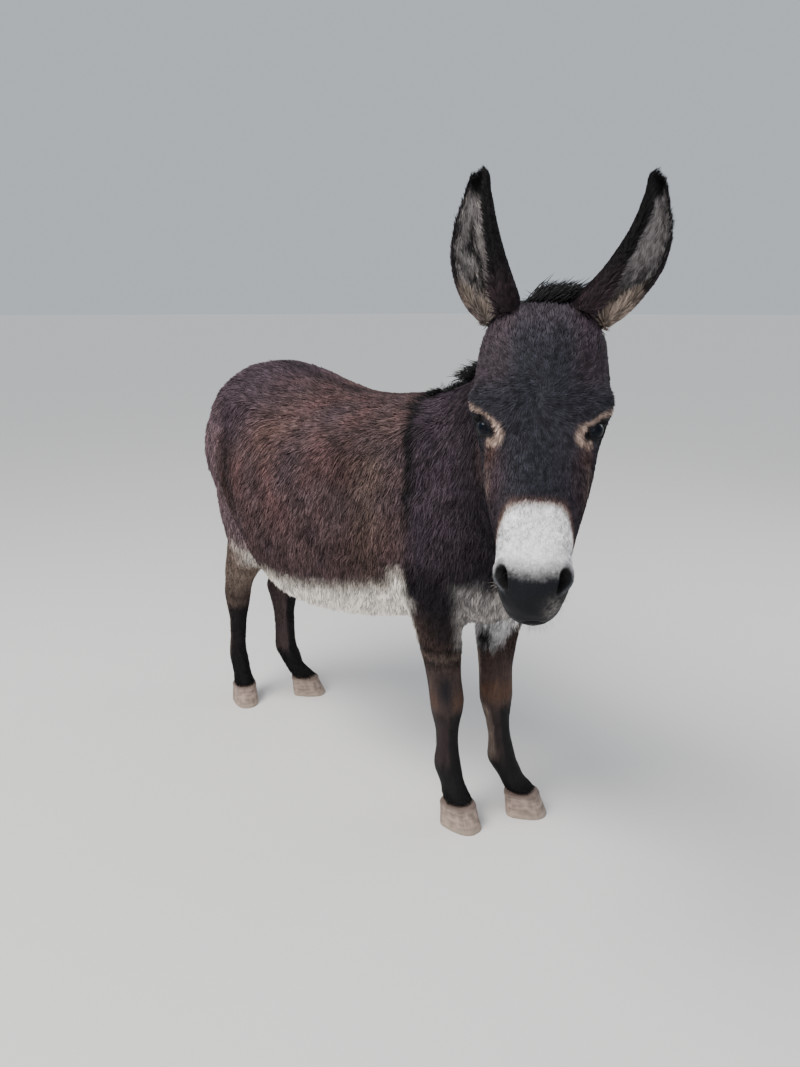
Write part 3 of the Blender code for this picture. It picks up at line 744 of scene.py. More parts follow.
def pale_ring(points, cloud):
    """The pale band that runs over each eye and turns under its inner corner, and the dark inside it."""
    share, shade = np.zeros(len(points)), np.zeros(len(points))
    for side, centre in EYES.items():
        gaze, inner, above = (np.array(a) for a in eye_axes(side))
        away = 1000 * (points - np.array(centre))
        x, y, depth = away @ inner, away @ above, away @ gaze
        y = y + 5.0 * (side > 0) * step(25, 5, x) * step(0, 8, y)
        off = np.full(len(points), 99.0)
        for (x0, y0), (x1, y1) in zip(RING, RING[1:]):
            dx, dy = x1 - x0, y1 - y0
            t = np.clip(((x - x0) * dx + (y - y0) * dy) / (dx**2 + dy**2), 0, 1)
            off = np.minimum(off, np.hypot(x - x0 - t * dx, y - y0 - t * dy))
        half = 2.0 + 2.0 * hump(x, 36, 13) + (1.3 * step(14, -8, x) - 0.4) * (side > 0)
        here = step(-16, -9, depth)
        share += here * step(4.2, -2.8, off - half + 2.2 * cloud) * np.where(y < -4, step(12, 27, x), 1)
        shade += here * step(1.15, 0.80, ((x - 4) / 33) ** 2 + ((y - 1) / 16.5) ** 2)
    return share, shade


def face_colours(colours, points, cloud):
    places = mirrored(points)
    along, aside, above = places.T
    on_head = head_share(points)
    face = layered(
        plain(FACE_BROWN, points),
        (0.5 * cloud + 0.15 * grain(points, 0.0030, 13.0), NEAR_BLACK),
        (0.90 * blob(places, (0.275, 0.058, -0.040), (0.080, 0.020, 0.035)), CHEEK_BROWN),
        (0.9 * blob(places, (0.02, 0.0, 0.0), (0.045, 0.09, 0.05)), CROWN_BROWN),
        (0.45 * step(0.028, 0.058, aside) * step(0.17, 0.12, along), CHEEK_BROWN),
        (0.6 * step(-0.10, -0.16, above) * step(0.30, 0.20, along), DEEP_BROWN),
    )
    speckle = grain(points, 0.0035, 11.0)
    top_edge = 0.330 + 0.020 * (aside / 0.046) ** 6 + 0.006 * cloud + 0.004 * speckle
    fringe = 0.006 + 0.008 * step(0.020, 0.050, aside)
    rusty = (0.44 + 0.5 * cloud + 0.3 * speckle) * hump(along - top_edge + 0.006, 0, fringe)
    flecks = step(0.1, 0.7, grain(points, 0.0045, 14.0))
    corner = step(0.340, 0.360, along) * step(0.026, 0.046, aside)
    face = layered(
        face,
        (rusty, RUST),
        (0.55 * hump(along - top_edge, 0, 0.5 * fringe), TAN),
        (step(-0.006, 0.012, along - top_edge), WHITE),
        (0.30 * flecks * step(0.004, 0.020, along - top_edge), PALE_GREY),
        (0.35 * corner * step(-0.2, 0.5, cloud), GREY_LIP),
    )
    nose_edge = 0.4225 - 0.0080 * step(0.008, 0.032, aside) + 1.6 * np.maximum(aside - 0.045, 0)
    nose = step(-0.020, 0.022, along - nose_edge + 0.004 * cloud + 0.005 * speckle)
    face = paint(face, nose * step(-0.130, -0.105, above + 0.02 * cloud), CHARCOAL)
    flap = step(1.8, 1.3, off_the_nostril(places)) * step(0.034, 0.042, aside)
    face = paint(face, flap * (0.50 + 0.50 * step(0.414, 0.430, along)), GREY_LIP * 0.8)
    # Painted shade: the inside of the nostril is painted near black, its dark lining deepened by the shadow
    # in the hollow.
    face = paint(face, step(1.22, 0.92, off_the_nostril(places)), NOSTRIL_SHADE)
    across = to_head(points)[:, 1]
    lip = blob(np.column_stack([along, across, above]), (0.466, 0.029, -0.049), (0.013, 0.011, 0.020))
    face = paint(face, 1.3 * lip * (0.7 + 1.1 * speckle + 0.5 * cloud), PALE_LIP)
    seen = [off_the_opening(points, side) for side in EYES]
    out, x, rise, reach = np.where(seen[0][3] < seen[1][3], seen[0], seen[1])
    close_by = step(0.036, 0.028, reach)
    ring, shade = pale_ring(points, cloud + 0.5 * speckle)
    face = layered(
        face,
        (0.80 * shade, NEAR_BLACK),
        (0.90 * ring, TAN),
        (0.40 * step(0.85, 1.0, ring) * step(-0.1, 0.6, cloud + 0.5 * speckle), CREAM),
    )
    warm = blob(places, (0.243, 0.066, -0.024), (0.016, 0.010, 0.016))
    crest = blob(places, (0.283, 0.070, -0.042), (0.034, 0.006, 0.020))
    face = paint(face, 0.50 * warm * (0.8 + 0.8 * cloud), RUST)
    face = paint(face, 0.28 * crest * (0.9 + 0.9 * cloud), TAN * 0.7)
    rim = 1.9 + 3.0 * step(0.75, 1.1, x) * (rise < 0.3)
    rim = rim + 5.0 * step(-0.45, -0.80, x) * step(0.60, 0.25, rise) + 2.2 * step(0.0, -0.25, rise)
    face = paint(face, step(1.5, 0.0, out - rim) * close_by, BLACK)
    return paint(colours, on_head, face)


# %% [markdown]
# Hair on a donkey runs from the forehead's whorl outwards, down the nose, down the neck, back and down
# over the barrel, and straight down the legs. `lie_of` writes this as one direction for each part and
# blends them with the parts' shares, then presses the result onto the surface.


# %% The way the hair lies
def lie_of(points, normals, shares):
    places = to_head(points)
    along, across, above = places.T
    n, left, brow = HEAD_AXES
    down_the_face = np.clip((along - 0.165) / 0.05, -1, 1)
    sideways = np.clip(across / 0.045, -1, 1) * hump(along, 0.165, 0.07)
    throatward = step(-0.03, -0.12, above) * 0.9 + 0.45 * np.clip(np.abs(across) / 0.07, 0, 1)
    swirl = 0.45 * np.exp(-(((along - 0.165) / 0.05) ** 2 + (across / 0.05) ** 2))
    head = np.outer(down_the_face - swirl * across / 0.03, n) - np.outer(throatward, brow)
    head += np.outer(sideways + swirl * (along - 0.165) / 0.03, left)
    head += np.outer(step(0.30, 0.18, along) * step(-0.06, -0.14, above), -n)
    flank = step(0.75, 0.35, normals[:, 2])
    trunk = np.column_stack([0 * flank, 1 - 0.70 * flank, -0.30 - 0.70 * flank])
    ways = {"head": head, "neck": (0.06, 0.34, -1.0), "trunk": trunk, "tail": (0, 0.05, -1)}
    way = np.zeros_like(points)
    for k, name in enumerate(FLESH):
        chosen = np.array(ways.get(name, (0, 0.12, -1.0)))
        way += shares[:, k : k + 1] * (chosen if chosen.ndim == 2 else chosen[None, :])
    way -= normals * (way * normals).sum(axis=1)[:, None]
    return unit(way)


TRUNK_HAIR, NECK_HAIR, TAIL_HAIR = 0.027, 0.025, 0.020
LEG_HAIR, FACE_HAIR, LID_HAIR = 0.0095, 0.0095, 0.0042
HOOF_TOP = 0.058  # no hair grows below this height


def hair_of(points, shares):
    """Length of the hair in metres, how close it stands, and its lift in degrees."""
    _, back, height = to_body(points).T
    places = mirrored(points)
    along, _, above = places.T
    legs = LEG_HAIR + 0.009 * step(0.40, 0.58, height) + 0.006 * step(0.10, 0.07, height)
    length = shares[:, FLESH.index("trunk")] * TRUNK_HAIR + shares[:, FLESH.index("neck")] * NECK_HAIR
    length += part_share(shares, "leg") * legs + shares[:, FLESH.index("tail")] * TAIL_HAIR
    under = step(0.60, 0.50, height) * part_share(shares, "trunk")
    chest = step(-0.20, -0.26, back) * step(0.62, 0.52, height)
    length += 0.012 * under * step(-0.24, -0.18, back) - 0.007 * chest
    face = FACE_HAIR - 0.0045 * step(0.28, 0.36, along) - 0.0028 * step(0.375, 0.415, along)
    face += 0.009 * step(0.10, 0.03, along) + 0.006 * step(-0.10, -0.17, above) * step(0.30, 0.20, along)
    near_eye = step(0.040, 0.022, np.linalg.norm(places - np.array(EYE_PLACE), axis=1))
    face = face * (1 - near_eye) + LID_HAIR * near_eye
    length = length * (1 - head_share(points)) + face * head_share(points)
    close = np.ones(len(points))
    close *= 1 - 0.85 * step(0.425, 0.450, along) * head_share(points)
    for side, centre in EYES.items():
        near = np.linalg.norm(points - np.array(centre), axis=1) < 0.035
        out = off_the_opening(points, side)[0]
        close[near & (out < 2.0)] = 0
    close *= step(0.85, 1.15, off_the_nostril(places))
    close[from_line(places, MOUTH) < 0.003] = 0
    close[height < HOOF_TOP] = 0
    lift = 9 + 8 * under + 12 * step(0.05, 0.0, along) * head_share(points)
    return length, close, lift


def write_hair(mesh, colours, way, length, close, lift):
    store(mesh, "pelt", "FLOAT_COLOR", colours)
    store(mesh, "lie", "FLOAT_VECTOR", way)
    for name, values in (("hair", length), ("close", close), ("lift", np.radians(lift))):
        store(mesh, name, "FLOAT", values)


def dress(mesh):
    """Writes everything the coat needs on the skin, and sinks the skin by the coat's depth."""
    edges = edges_of(mesh)
    points = points_of(mesh)
    shares = parts_of(points, edges)
    normals = normals_of(mesh)
    length, close, lift = hair_of(points, shares)
    depth = spread((length * np.sin(np.radians(lift)) * 0.95)[:, None], edges, 6)
    put_points(mesh, points - normals * depth)
    points, normals = points_of(mesh), spread(normals_of(mesh), edges, 4)
    normals = unit(normals)
    cloud = 0.6 * grain(points, 0.030) + 0.4 * grain(points, 0.011, 7.0)
    way = unit(spread(lie_of(points, normals, shares), edges, 6))
    across_hair = np.cross(normals, way)

    def hair_grain(stretch, size, seed):
        """Random numbers in streaks that run with the hair."""
        with_hair, over_hair = ((points * ways).sum(axis=1) for ways in (way, across_hair))
        return grain(np.column_stack([with_hair / stretch, over_hair, 0 * over_hair]), size, seed)

    colours = body_colours(points, normals, shares, cloud)
    colours = leg_colours(colours, points, normals, shares, cloud)
    colours = chest_colours(colours, points, normals, cloud)
    colours = face_colours(colours, points, cloud)
    streaks = 0.48 * hair_grain(5, 0.009, 2.0) + 0.32 * hair_grain(7, 0.0045, 8.0)
    colours = colours * (1 + streaks * (1 - 0.50 * head_share(points)))[:, None]
    write_hair(mesh, colours, way, length, close, lift)
    return shares


SHARES = dress(skin.data)
print("skin dressed: longest hair", round(1000 * numbers(skin.data, "hair").max()), "mm")

# %% [markdown]
# ## Materials
# A tuft stands for a few hairs: its base is painted darker than its tip, as painted shade from the tufts
# over it, and its tone differs from the next one's. The skin under it has the same colour, with a fine noise
# in its tone and on its surface, and is darker than the tips, because it lies in their shade.


# %% Materials for hide and hair
ROOT_SHADE, TIP_SHADE = 0.62, 1.16
DARKEST_TUFT, PALEST_TUFT = 0.45, 1.57


def new_material(name):
    made = bpy.data.materials.new(name)
    made.use_nodes = True
    return made, made.node_tree


def fill(tree, node, inputs):
    """Gives each input a value, or a link from another node's output."""
    for key, value in inputs.items():
        if isinstance(value, bpy.types.NodeSocket):
            tree.links.new(value, node.inputs[key])
        else:
            node.inputs[key].default_value = value


def new_node(tree, kind, inputs, **settings):
    made = tree.nodes.new(kind)
    for name, value in settings.items():
        setattr(made, name, value)
    fill(tree, made, inputs)
    return made


def maths(tree, operation, a, b):
    return new_node(tree, "ShaderNodeMath", {0: a, 1: b}, operation=operation).outputs[0]


def scaled(tree, vector, factor):
    """A colour or a vector, times a number."""
    return new_node(tree, "ShaderNodeVectorMath", {0: vector, "Scale": factor}, operation="SCALE").outputs[0]


def stored(tree, name, output="Fac"):
    return new_node(tree, "ShaderNodeAttribute", {}, attribute_name=name).outputs[output]


def ramped(tree, value, low, high, floor, ceiling):
    inputs = {"Value": value, "From Min": low, "From Max": high, "To Min": floor, "To Max": ceiling}
    return new_node(tree, "ShaderNodeMapRange", inputs).outputs[0]


def set_shader(tree, colour, roughness, specular, **more):
    inputs = {"Base Color": colour, "Roughness": roughness, "Specular IOR Level": specular}
    fill(tree, tree.nodes["Principled BSDF"], {**inputs, **more})


def noise_bump(tree, strength, distance, noise_inputs):
    """Fine noise that pushes the surface in and out. The noise is given back."""
    place = new_node(tree, "ShaderNodeTexCoord", {}).outputs["Object"]
    fine = new_node(tree, "ShaderNodeTexNoise", {"Vector": place, **noise_inputs}).outputs["Fac"]
    bump = new_node(tree, "ShaderNodeBump", {"Strength": strength, "Distance": distance, "Height": fine})
    fill(tree, tree.nodes["Principled BSDF"], {"Normal": bump.outputs[0]})
    return fine


def hair_material(name, roughness=0.70, specular=0.12):
    made, tree = new_material(name)
    # Painted shade: each tuft darkens towards its base, where the tufts over it shade it.
    from_root = ramped(tree, stored(tree, "tipward"), 0.0, 0.9, ROOT_SHADE, TIP_SHADE)
    differ = ramped(tree, stored(tree, "differ"), 0.0, 1.0, DARKEST_TUFT, PALEST_TUFT)
    shade = maths(tree, "MULTIPLY", from_root, differ)
    set_shader(tree, scaled(tree, stored(tree, "pelt", "Color"), shade), roughness, specular)
    return made


def hide_material(name):
    made, tree = new_material(name)
    fine = noise_bump(tree, strength=0.35, distance=0.0012, noise_inputs={"Scale": 420, "Detail": 3})
    shade = ramped(tree, fine, 0.3, 0.7, 0.70, 1.10)
    colour = scaled(tree, stored(tree, "pelt", "Color"), shade)
    set_shader(tree, colour, roughness=0.62, specular=0.15)
    return made


HAIR = hair_material("soft hair")
MANE_HAIR = hair_material("coarse hair", roughness=0.50, specular=0.25)
HIDE = hide_material("hide")
skin.data.materials.clear()
skin.data.materials.append(HIDE)
skin.data.shade_smooth()
print("materials mixed")

# %% [markdown]
# ## One tuft
# A tuft is a thin closed blade with a soft bend: it starts in a point under the skin, is widest before
# the middle, and ends in a point. Four triangles are enough, because it is repeated more than three
# hundred thousand times. Three bends are made, so that neighbours differ.

# %% Make three tufts
TUFT_BAKE = 0.003  # how wide one tuft is on the map that the finish is baked to


def tuft(name, bend, waist=0.40, arch=0.07):
    """A tuft along +Y, 1 long and 1 wide: a root, a tip, and two edges that stand a little higher."""
    points = [(0, 0, 0), (-0.5, waist - 0.05, 0.22), (0.5, waist + 0.05, 0.22), (0, 1, 0)]
    along = [(0.0, 0.0, -0.03)] + [(waist, bend * waist**2, arch)] * 2 + [(1.0, bend, 0.02)]
    faces = [(0, 2, 1), (3, 1, 2), (0, 3, 2), (0, 1, 3)]
    mesh = bpy.data.meshes.new(name)
    mesh.from_pydata(points, [], faces)
    face_outwards(mesh)
    store(mesh, "tipward", "FLOAT", np.array([a[0] for a in along]))
    store(mesh, "bow", "FLOAT_VECTOR", np.array([(a[1], 0.0, a[2]) for a in along]))
    leaf = mesh.uv_layers.new(name="leaf")
    for corner in mesh.loops:
        x, y, _ = mesh.vertices[corner.vertex_index].co
        leaf.data[corner.index].uv = ((x + 0.5) * 0.5, y)
    return add_object(name, mesh)


TUFTS = bpy.data.collections.new("tufts")
for number, bend in enumerate((-0.16, 0.02, 0.18)):
    one = tuft(f"tuft_{number}", bend)
    bpy.context.scene.collection.objects.unlink(one)
    TUFTS.objects.link(one)
print("tuft triangles:", len(one.data.polygons))

# %% [markdown]
# ## The coat tree
# Geometry Nodes scatter points over a patch of skin, turn a tuft at each so that it lies the way the
# hair lies, and stretch it to the hair's length. Its bend is kept as an attribute and added after scaling,
# so that long and short tufts bend alike. The tree ends by making the tufts real, and by writing the
# baking map: each tuft is a tiny patch at its root's place on the unwrap of its piece of skin.


# %% Build the coat tree
def coat_tree():
    tree = bpy.data.node_groups.new("coat", "GeometryNodeTree")
    for name, kind in (
        ("Skin", "Geometry"),
        ("Tufts", "Collection"),
        ("Tufts per square metre", "Float"),
        ("Width over length", "Float"),
        ("Ruffle", "Float"),
        ("Seed", "Int"),
        ("Material", "Material"),
    ):
        tree.interface.new_socket(name, in_out="INPUT", socket_type="NodeSocket" + kind)
    tree.interface.new_socket("Coat", in_out="OUTPUT", socket_type="NodeSocketGeometry")
    given = new_node(tree, "NodeGroupInput", {}).outputs

    def attribute(name, kind="FLOAT"):
        made = new_node(tree, "GeometryNodeInputNamedAttribute", {"Name": name}, data_type=kind)
        return made.outputs["Attribute"]

    def times(a, b):
        return maths(tree, "MULTIPLY", a, b)

    def plus(a, b):
        return maths(tree, "ADD", a, b)

    def chance(low, high, offset):
        inputs = {2: low, 3: high, "Seed": plus(given["Seed"], offset)}
        return new_node(tree, "FunctionNodeRandomValue", inputs, data_type="FLOAT").outputs[1]

    def waves(scale, height):
        """Soft noise on both sides of zero, alike for neighbouring tufts."""
        made = new_node(tree, "ShaderNodeTexNoise", {"Scale": scale, "Detail": 1}).outputs["Fac"]
        return times(maths(tree, "SUBTRACT", made, 0.5), height)

    def keep(geometry, name, kind, domain, value):
        inputs = {"Name": name, "Geometry": geometry, "Value": value}
        made = new_node(tree, "GeometryNodeStoreNamedAttribute", inputs, data_type=kind, domain=domain)
        return made.outputs["Geometry"]

    density = times(given["Tufts per square metre"], attribute("close"))
    inputs = {"Mesh": given["Skin"], "Density": density, "Seed": given["Seed"]}
    scatter = new_node(tree, "GeometryNodeDistributePointsOnFaces", inputs).outputs

    # Turn: flat on the skin and along the hair, then a lift and a yaw that differ from tuft to tuft.
    inputs = {"Primary Axis": scatter["Normal"], "Secondary Axis": attribute("lie", "FLOAT_VECTOR")}
    flat = new_node(tree, "FunctionNodeAxesToRotation", inputs, primary_axis="Z", secondary_axis="Y")
    yaw = times(plus(waves(26, 1.1), chance(-0.22, 0.22, 1)), given["Ruffle"])
    lift = plus(attribute("lift"), times(chance(-0.10, 0.13, 2), given["Ruffle"]))
    angles = new_node(tree, "ShaderNodeCombineXYZ", {"X": lift, "Z": yaw}).outputs[0]
    turn = new_node(tree, "FunctionNodeEulerToRotation", {0: angles}).outputs[0]
    inputs = {"Rotation": flat.outputs[0], "Rotate By": turn}
    turned = new_node(tree, "FunctionNodeRotateRotation", inputs, rotation_space="LOCAL").outputs[0]

    length = times(attribute("hair"), chance(0.75, 1.20, 3))
    width = times(times(length, given["Width over length"]), chance(0.75, 1.25, 4))
    size = new_node(tree, "ShaderNodeCombineXYZ", {"X": width, "Y": length, "Z": width}).outputs[0]

    # Tone: it changes in clumps, and a little from tuft to tuft.
    differ = plus(waves(130, 3.4), chance(0.20, 0.80, 5))
    points = keep(scatter["Points"], "differ", "FLOAT", "POINT", differ)
    points = keep(points, "length", "FLOAT", "POINT", length)
    inputs = {"Separate Children": True, "Collection": given["Tufts"]}
    bends = new_node(tree, "GeometryNodeCollectionInfo", inputs).outputs[0]
    inputs = {4: 0, 5: 2, "Seed": plus(given["Seed"], 6)}
    pick = new_node(tree, "FunctionNodeRandomValue", inputs, data_type="INT").outputs[2]
    inputs = {"Points": points, "Instance": bends, "Pick Instance": True, "Instance Index": pick}
    inputs |= {"Rotation": turned, "Scale": size}
    planted = new_node(tree, "GeometryNodeInstanceOnPoints", inputs).outputs[0]
    turn_now = new_node(tree, "GeometryNodeInputInstanceRotation", {}).outputs[0]
    planted = keep(planted, "turn", "QUATERNION", "INSTANCE", turn_now)
    real = new_node(tree, "GeometryNodeRealizeInstances", {"Geometry": planted}).outputs[0]

    inputs = {"Vector": attribute("bow", "FLOAT_VECTOR"), "Rotation": attribute("turn", "QUATERNION")}
    bow = new_node(tree, "FunctionNodeRotateVector", inputs).outputs[0]
    inputs = {"Geometry": real, "Offset": scaled(tree, bow, attribute("length"))}
    bent = new_node(tree, "GeometryNodeSetPosition", inputs).outputs[0]

    leaf = scaled(tree, attribute("leaf", "FLOAT_VECTOR"), TUFT_BAKE)
    inputs = {0: attribute("root_map", "FLOAT_VECTOR"), 1: leaf}
    spot = new_node(tree, "ShaderNodeVectorMath", inputs, operation="ADD").outputs[0]
    coat = keep(bent, "OFBake", "FLOAT2", "CORNER", spot)
    for name in ("root_map", "leaf", "turn", "bow", "length", "lie", "hair", "close", "lift"):
        inputs = {"Name": name, "Geometry": coat}
        coat = new_node(tree, "GeometryNodeRemoveAttribute", inputs).outputs["Geometry"]
    inputs = {"Geometry": coat, "Material": given["Material"]}
    finish = new_node(tree, "GeometryNodeSetMaterial", inputs).outputs[0]
    new_node(tree, "NodeGroupOutput", {"Coat": finish})
    return tree


COAT = coat_tree()
print("coat tree:", len(COAT.nodes), "nodes")

# %% [markdown]
# ## Combing the coat on
# The skin is copied in patches, each is unwrapped for the baking map, and the tree is run on it. The
# number of tufts is set for each patch, because one piece may hold just under 200,000 triangles.


# %% Grow the coat patch by patch
def patch_of(source, name, chosen):
    """A copy of the faces whose vertices are chosen, with an unwrap of their own."""
    work = bmesh.new()
    work.from_mesh(source.data)
    gone = [f for f in work.faces if not chosen[f.verts[0].index]]
    bmesh.ops.delete(work, geom=gone, context="FACES")
    mesh = worked(work, name)
    patch = add_object(name, mesh)
    while mesh.uv_layers:
        mesh.uv_layers.remove(mesh.uv_layers[0])
    mesh.uv_layers.new(name="root_map")
    bpy.ops.object.select_all(action="DESELECT")
    bpy.context.view_layer.objects.active = patch
    patch.select_set(True)
    bpy.ops.object.mode_set(mode="EDIT")
    bpy.ops.mesh.select_all(action="SELECT")
    bpy.ops.uv.smart_project(angle_limit=1.15, island_margin=0.004)
    bpy.ops.object.mode_set(mode="OBJECT")
    return patch


def reach_of(mesh):
    """The area of a mesh, each face counted by how close its hair stands."""
    close = np.empty(len(mesh.vertices), np.float32)
    mesh.attributes["close"].data.foreach_get("value", close)
    area = np.empty(len(mesh.polygons), np.float32)
    mesh.polygons.foreach_get("area", area)
    first = np.array([f.vertices[0] for f in mesh.polygons])
    return float((area * close[first]).sum())


def grow(name, patch, count, width, ruffle, seed, material):
    change = patch.modifiers.new("coat", "NODES")
    change.node_group = COAT
    values = {
        "Tufts": TUFTS,
        "Tufts per square metre": count / reach_of(patch.data),
        "Width over length": width,
        "Ruffle": ruffle,
        "Seed": seed,
        "Material": material,
    }
    for item in COAT.interface.items_tree:
        if item.item_type == "SOCKET" and item.in_out == "INPUT" and item.name in values:
            change[item.identifier] = values[item.name]
    coat = settled(patch)
    coat.name = name
    coat.data.shade_flat()
    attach(coat, "root")
    print(name, len(coat.data.polygons), "triangles")
    return coat


across, back, height = to_body(points_of(skin.data)).T
ON_HEAD = head_share(points_of(skin.data)) > 0.5
OF = {word: part_share(SHARES, word) > 0.5 for word in ("neck", "foreleg", "hindleg", "tail")}
lateral = to_head(points_of(skin.data))[:, 1]
neck = OF["neck"] & ~ON_HEAD
legs = OF["foreleg"] | OF["hindleg"]
trunk = ~(ON_HEAD | neck | legs | OF["tail"])
ahead = back < 0.08  # where the barrel's coat is parted into shoulder and rump
PATCHES = (  # name, vertices, tufts, width as a share of length, ruffle, slot
    ("coat_face_right", ON_HEAD & (lateral < 0), 36000, 0.100, 0.7, "face"),
    ("coat_face_left", ON_HEAD & (lateral >= 0), 31000, 0.100, 0.7, "face"),
    ("coat_neck", neck, 42000, 0.060, 0.9, "coat"),
    ("coat_shoulder_right", trunk & (across < 0) & ahead, 44500, 0.058, 0.9, "coat"),
    ("coat_shoulder_left", trunk & (across >= 0) & ahead, 33000, 0.062, 0.9, "coat"),
    ("coat_rump_right", trunk & (across < 0) & ~ahead, 44500, 0.058, 0.9, "coat"),
    ("coat_rump_left", trunk & (across >= 0) & ~ahead, 33000, 0.062, 0.9, "coat"),
    ("coat_forelegs", OF["foreleg"], 22000, 0.090, 0.8, "leg"),
    ("coat_hindlegs", (OF["hindleg"] | OF["tail"]) & ~OF["foreleg"], 24000, 0.090, 0.8, "leg"),
)
for seed, (name, chosen, count, width, ruffle, slot) in enumerate(PATCHES):
    grow(name, patch_of(skin, name, chosen), count, width, ruffle, 10 * seed + 1, HAIR)
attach(skin, "root")
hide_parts(*FLESH)

# %% [markdown]
# ## Ears
# An ear is a leaf curled round an axis of its own, open to the front and a little outwards. It is made as
# a fine sheet with a wall, and knows for every vertex how far up it is, how far towards the middle of the
# head, and whether it faces in or out. The markings and the hair are set from those three.

# %% Build the ears
EAR_LENGTH, EAR_WALL, EAR_TUFTS = 0.246, 0.0028, 20500
EAR_STALK = 0.25  # share of the length over which the curl takes its own width
EAR_ROOT = (0.006, 0.064, -0.034)
EARS = {  # tip from root, how far it opens to its side in degrees, width as a share, bow outwards
    RIGHT: ((-0.94, -0.22, 0.28), 32, 1.00, 0.027),
    LEFT: ((-0.87, 0.42, 0.28), 30, 0.85, 0.037),
}
EAR_HAIR = tint(160, 153, 151)
EAR_SHADE = tint(98, 93, 97)
EAR_BASE = tint(152, 136, 124)
EAR_BACK = tint(46, 38, 40)
EAR_ROWS = (  # share of the length, radius of the curl, half angle of the curl in degrees
    (0.00, 0.0275, 150),
    (0.12, 0.0380, 130),
    (0.30, 0.0435, 106),
    (0.50, 0.0435, 92),
    (0.70, 0.0370, 80),
    (0.85, 0.0280, 72),
    (0.95, 0.0220, 68),
    (1.00, 0.0138, 60),
)


def curve_through(rows, per_span):
    """Rows of numbers, filled in smoothly between the given ones."""
    rows = np.array(rows, float)
    padded = np.vstack([2 * rows[0] - rows[1], rows, 2 * rows[-1] - rows[-2]])
    filled = []
    for k in range(len(rows) - 1):
        a, b, c, d = padded[k : k + 4]
        for t in np.arange(per_span) / per_span:
            cubic = (-a + 3 * b - 3 * c + d) * t**3 + (2 * a - 5 * b + 4 * c - d) * t**2
            filled.append((cubic + (c - a) * t + 2 * b) / 2)
    return np.array(filled + [rows[-1]])


def ear_axes(side):
    (noseward, left, browward), look, _, _ = EARS[side]
    along = (NOSEWARD * noseward + HEAD_LEFT * left + BROWWARD * browward).normalized()
    turned = math.radians(look)
    opening = FACING * math.cos(turned) + HEAD_LEFT * (side * math.sin(turned))
    opening = (opening - along * opening.dot(along)).normalized()
    return along, opening, along.cross(opening)


def ear_middle(side, share):
    root = on_head(EAR_ROOT[0], side * EAR_ROOT[1], EAR_ROOT[2])
    bend = HEAD_LEFT * side * (EARS[side][3] * math.sin(math.pi * min(share, 1)))
    return root + ear_axes(side)[0] * (share * EAR_LENGTH) + bend


def ear_leaf(side):
    """The curled leaf with its wall. Its vertices know how far up and how far inwards they are."""
    _, opening, across = ear_axes(side)
    inward = -side if across.dot(HEAD_LEFT) > 0 else side
    rows, steps = curve_through(EAR_ROWS, 6), 33
    points, faces, up, to_middle = [], [], [], []
    for share, radius, half_angle in rows:
        middle = ear_middle(side, share)
        radius *= 1 - (1 - EARS[side][2]) * min(share / EAR_STALK, 1)
        for k in range(steps):
            v = 2 * k / (steps - 1) - 1
            angle = math.radians(half_angle) * v
            roll = 1 - 0.10 * step(0.86, 1.0, abs(v)) * step(0.04, 0.2, share)
            away = across * math.sin(angle) - opening * math.cos(angle)
            points.append(middle + away * radius * float(roll))
            up.append(share)
            to_middle.append(v * inward)
    for r in range(len(rows) - 1):
        for k in range(steps - 1):
            a = r * steps + k
            faces.append([a, a + 1, a + steps + 1, a + steps])
    mesh = bpy.data.meshes.new("ear")
    mesh.from_pydata([tuple(p) for p in points], [], faces)
    store(mesh, "up", "FLOAT", np.array(up))
    store(mesh, "to_middle", "FLOAT", np.array(to_middle))
    ear = add_object("ear_" + WORDS[side], mesh)
    wall = ear.modifiers.new("wall", "SOLIDIFY")
    wall.thickness = EAR_WALL
    wall.offset = 0
    wall.use_even_offset = False
    settled(ear)
    return ear


